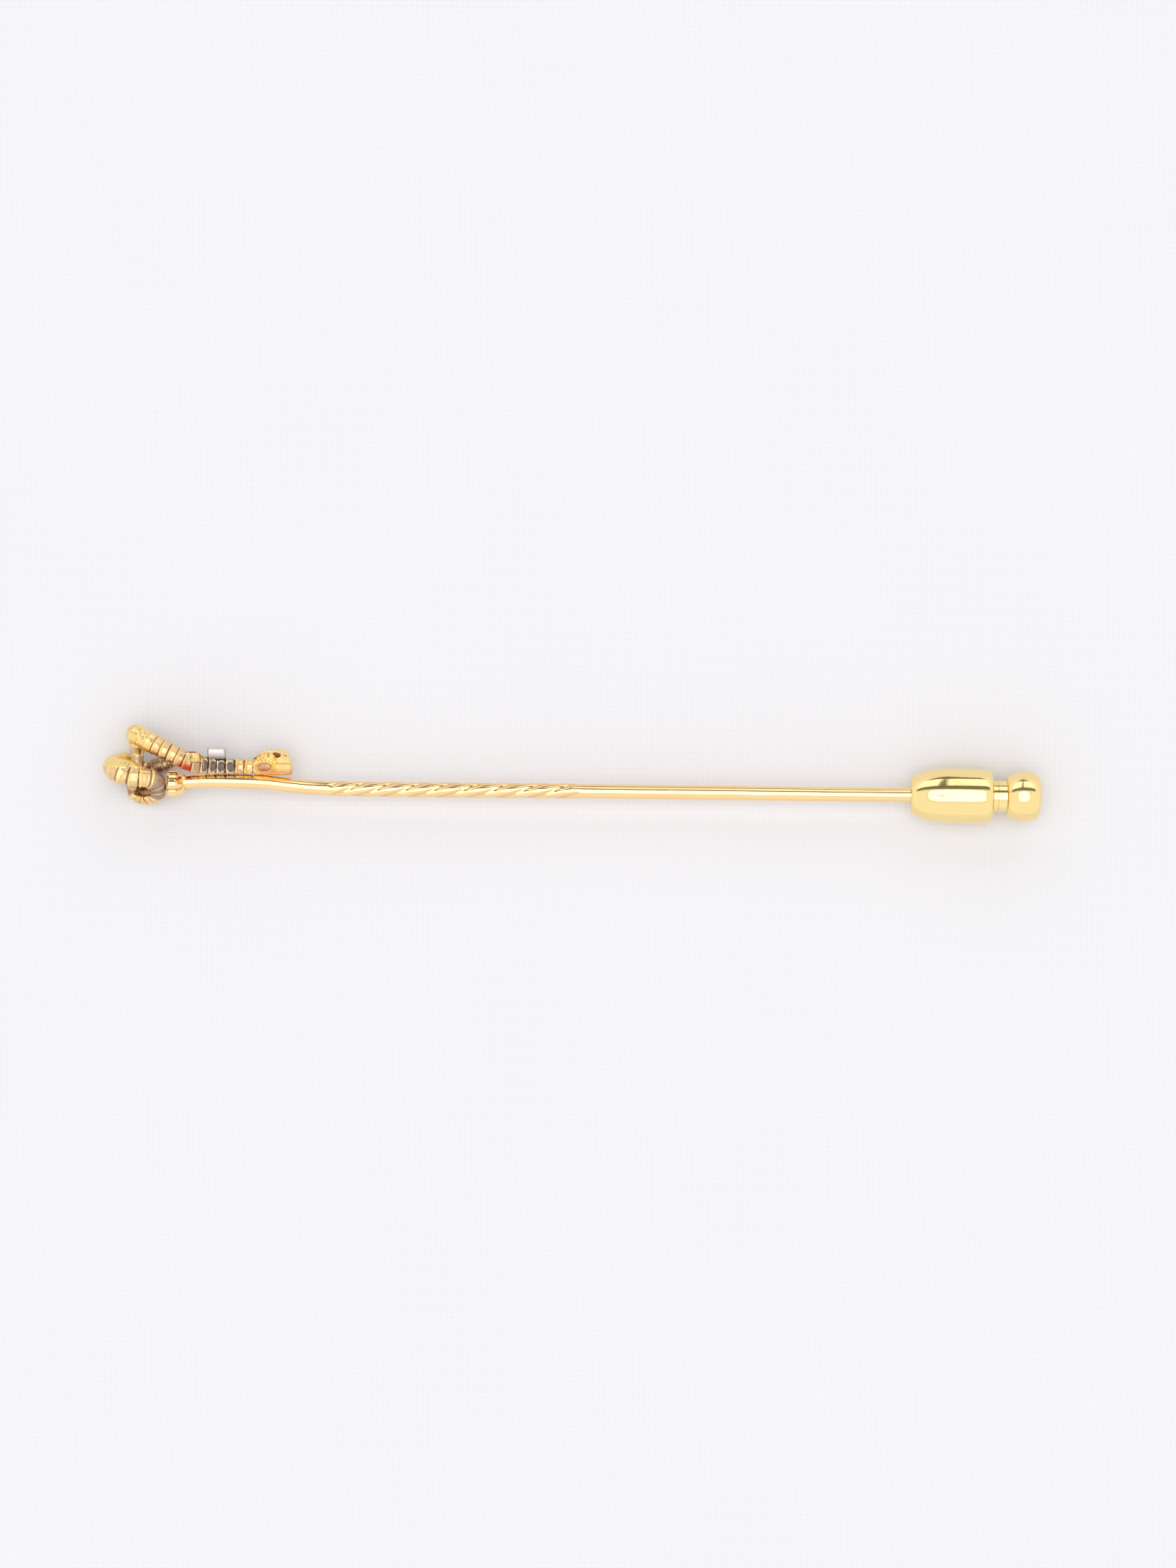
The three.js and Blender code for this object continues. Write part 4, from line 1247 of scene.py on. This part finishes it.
def studio():
    """White walls, a soft light round the lens overhead, and a window with three panes towards +y.

    Directions are measured in degrees from straight up: tilt towards +y, swing towards +x.
    """
    world = bpy.data.worlds.new("studio")
    bpy.context.scene.world = world
    f = Finish(world)
    way = f.node("ShaderNodeTexCoord", output=0)
    x, y, z = (f.node("ShaderNodeSeparateXYZ", sockets={0: way}, output=k) for k in range(3))
    clouds = f.noise(120, 3, 0.6)
    degrees = 180 / math.pi
    tilt = y.math("ARCTAN2", y, z) * degrees
    swing = x.math("ARCTAN2", x, z) * degrees + LENS_SWING

    def between(value, start, end, soft=1.5):
        return value.step(start - soft, start + soft) * (1 - value.step(end - soft, end + soft))

    along = (swing - 3) * 1.26
    round_lamp = (tilt**4 + along**4) ** 0.25
    off_lens = (tilt * tilt + swing * swing * 2.2) ** 0.5
    overhead = 1 - round_lamp.step(22.5, 26)
    rim = between(round_lamp, 26, 30, 1)
    lens = 1 - off_lens.step(3, 6.5)
    facing = 1 - swing.math("ABSOLUTE", swing).step(46, 60)
    frame_dark = between(tilt, *WINDOW_FRAME) * facing
    panes = between(tilt, *WINDOW_GLASS, 1.2) * facing * (0.8 + 0.35 * clouds)
    bars = between(swing, *WIDE_BAR, 1) + between(swing, *THIN_BAR, 0.25)
    level = 1.03 - 0.84 * frame_dark - 0.25 * rim * (1 - frame_dark)
    level = level + panes * (1 - bars) * 1.3 + overhead * 1.4 - lens * (1.3 + 0.8 * clouds)
    colour = f.mix(level / 4, rgba(0, 0, 0), rgba(4, 3.97, 3.99))
    return f.surface(f.node("ShaderNodeBackground", sockets={"Color": colour}))


def camera():
    """Straight above the pin, turned a little, at about arm's length."""
    distance = 0.4
    seen = 0.11704  # metres, along the view's long side at the pin
    data = bpy.data.cameras.new("camera")
    data.sensor_width = 36
    data.lens = data.sensor_width * distance / seen
    made = bpy.data.objects.new("camera", data)
    made.location = (0.0012, AXIS.y + 0.00054, AXIS.z + distance)
    made.rotation_euler = (0, 0, math.atan(0.0122))
    bpy.context.scene.collection.objects.link(made)
    bpy.context.scene.camera = made
    bpy.context.scene.view_settings.view_transform = "Standard"


# ---------------------------------------------------------------- the pin

camera()
studio()
floor()
gold = bright_gold()
rose = rosy_gold()
antique = old_gold()
silver = dark_silver()
pale = pale_silver()
steel = bright_steel()
ruby = stone("ruby", rgba(0.45, 0.01, 0.04), rgba(0.8, 0.05, 0.12), 1.77, 0.6)
diamond = stone("diamond", rgba(0.85, 0.88, 0.9), rgba(0.97, 0.98, 0.98), 2.4, 0.85)
garnet = stone("garnet", rgba(0.1, 0.02, 0.01), rgba(0.25, 0.06, 0.03), 1.75, 0.2)

pin_stem(rose)
stem_foot(rose)
solder_bead(antique)
snake_body(antique)
silver_sleeve(silver, pale)
snake_head(antique)
eyes(garnet)
stones(antique, pale, ruby, diamond)
clutch_barrel(gold)
retaining_ring(gold)
plunger(gold)
clutch_knob(gold)
clutch_spring(steel)
grip_balls(steel)
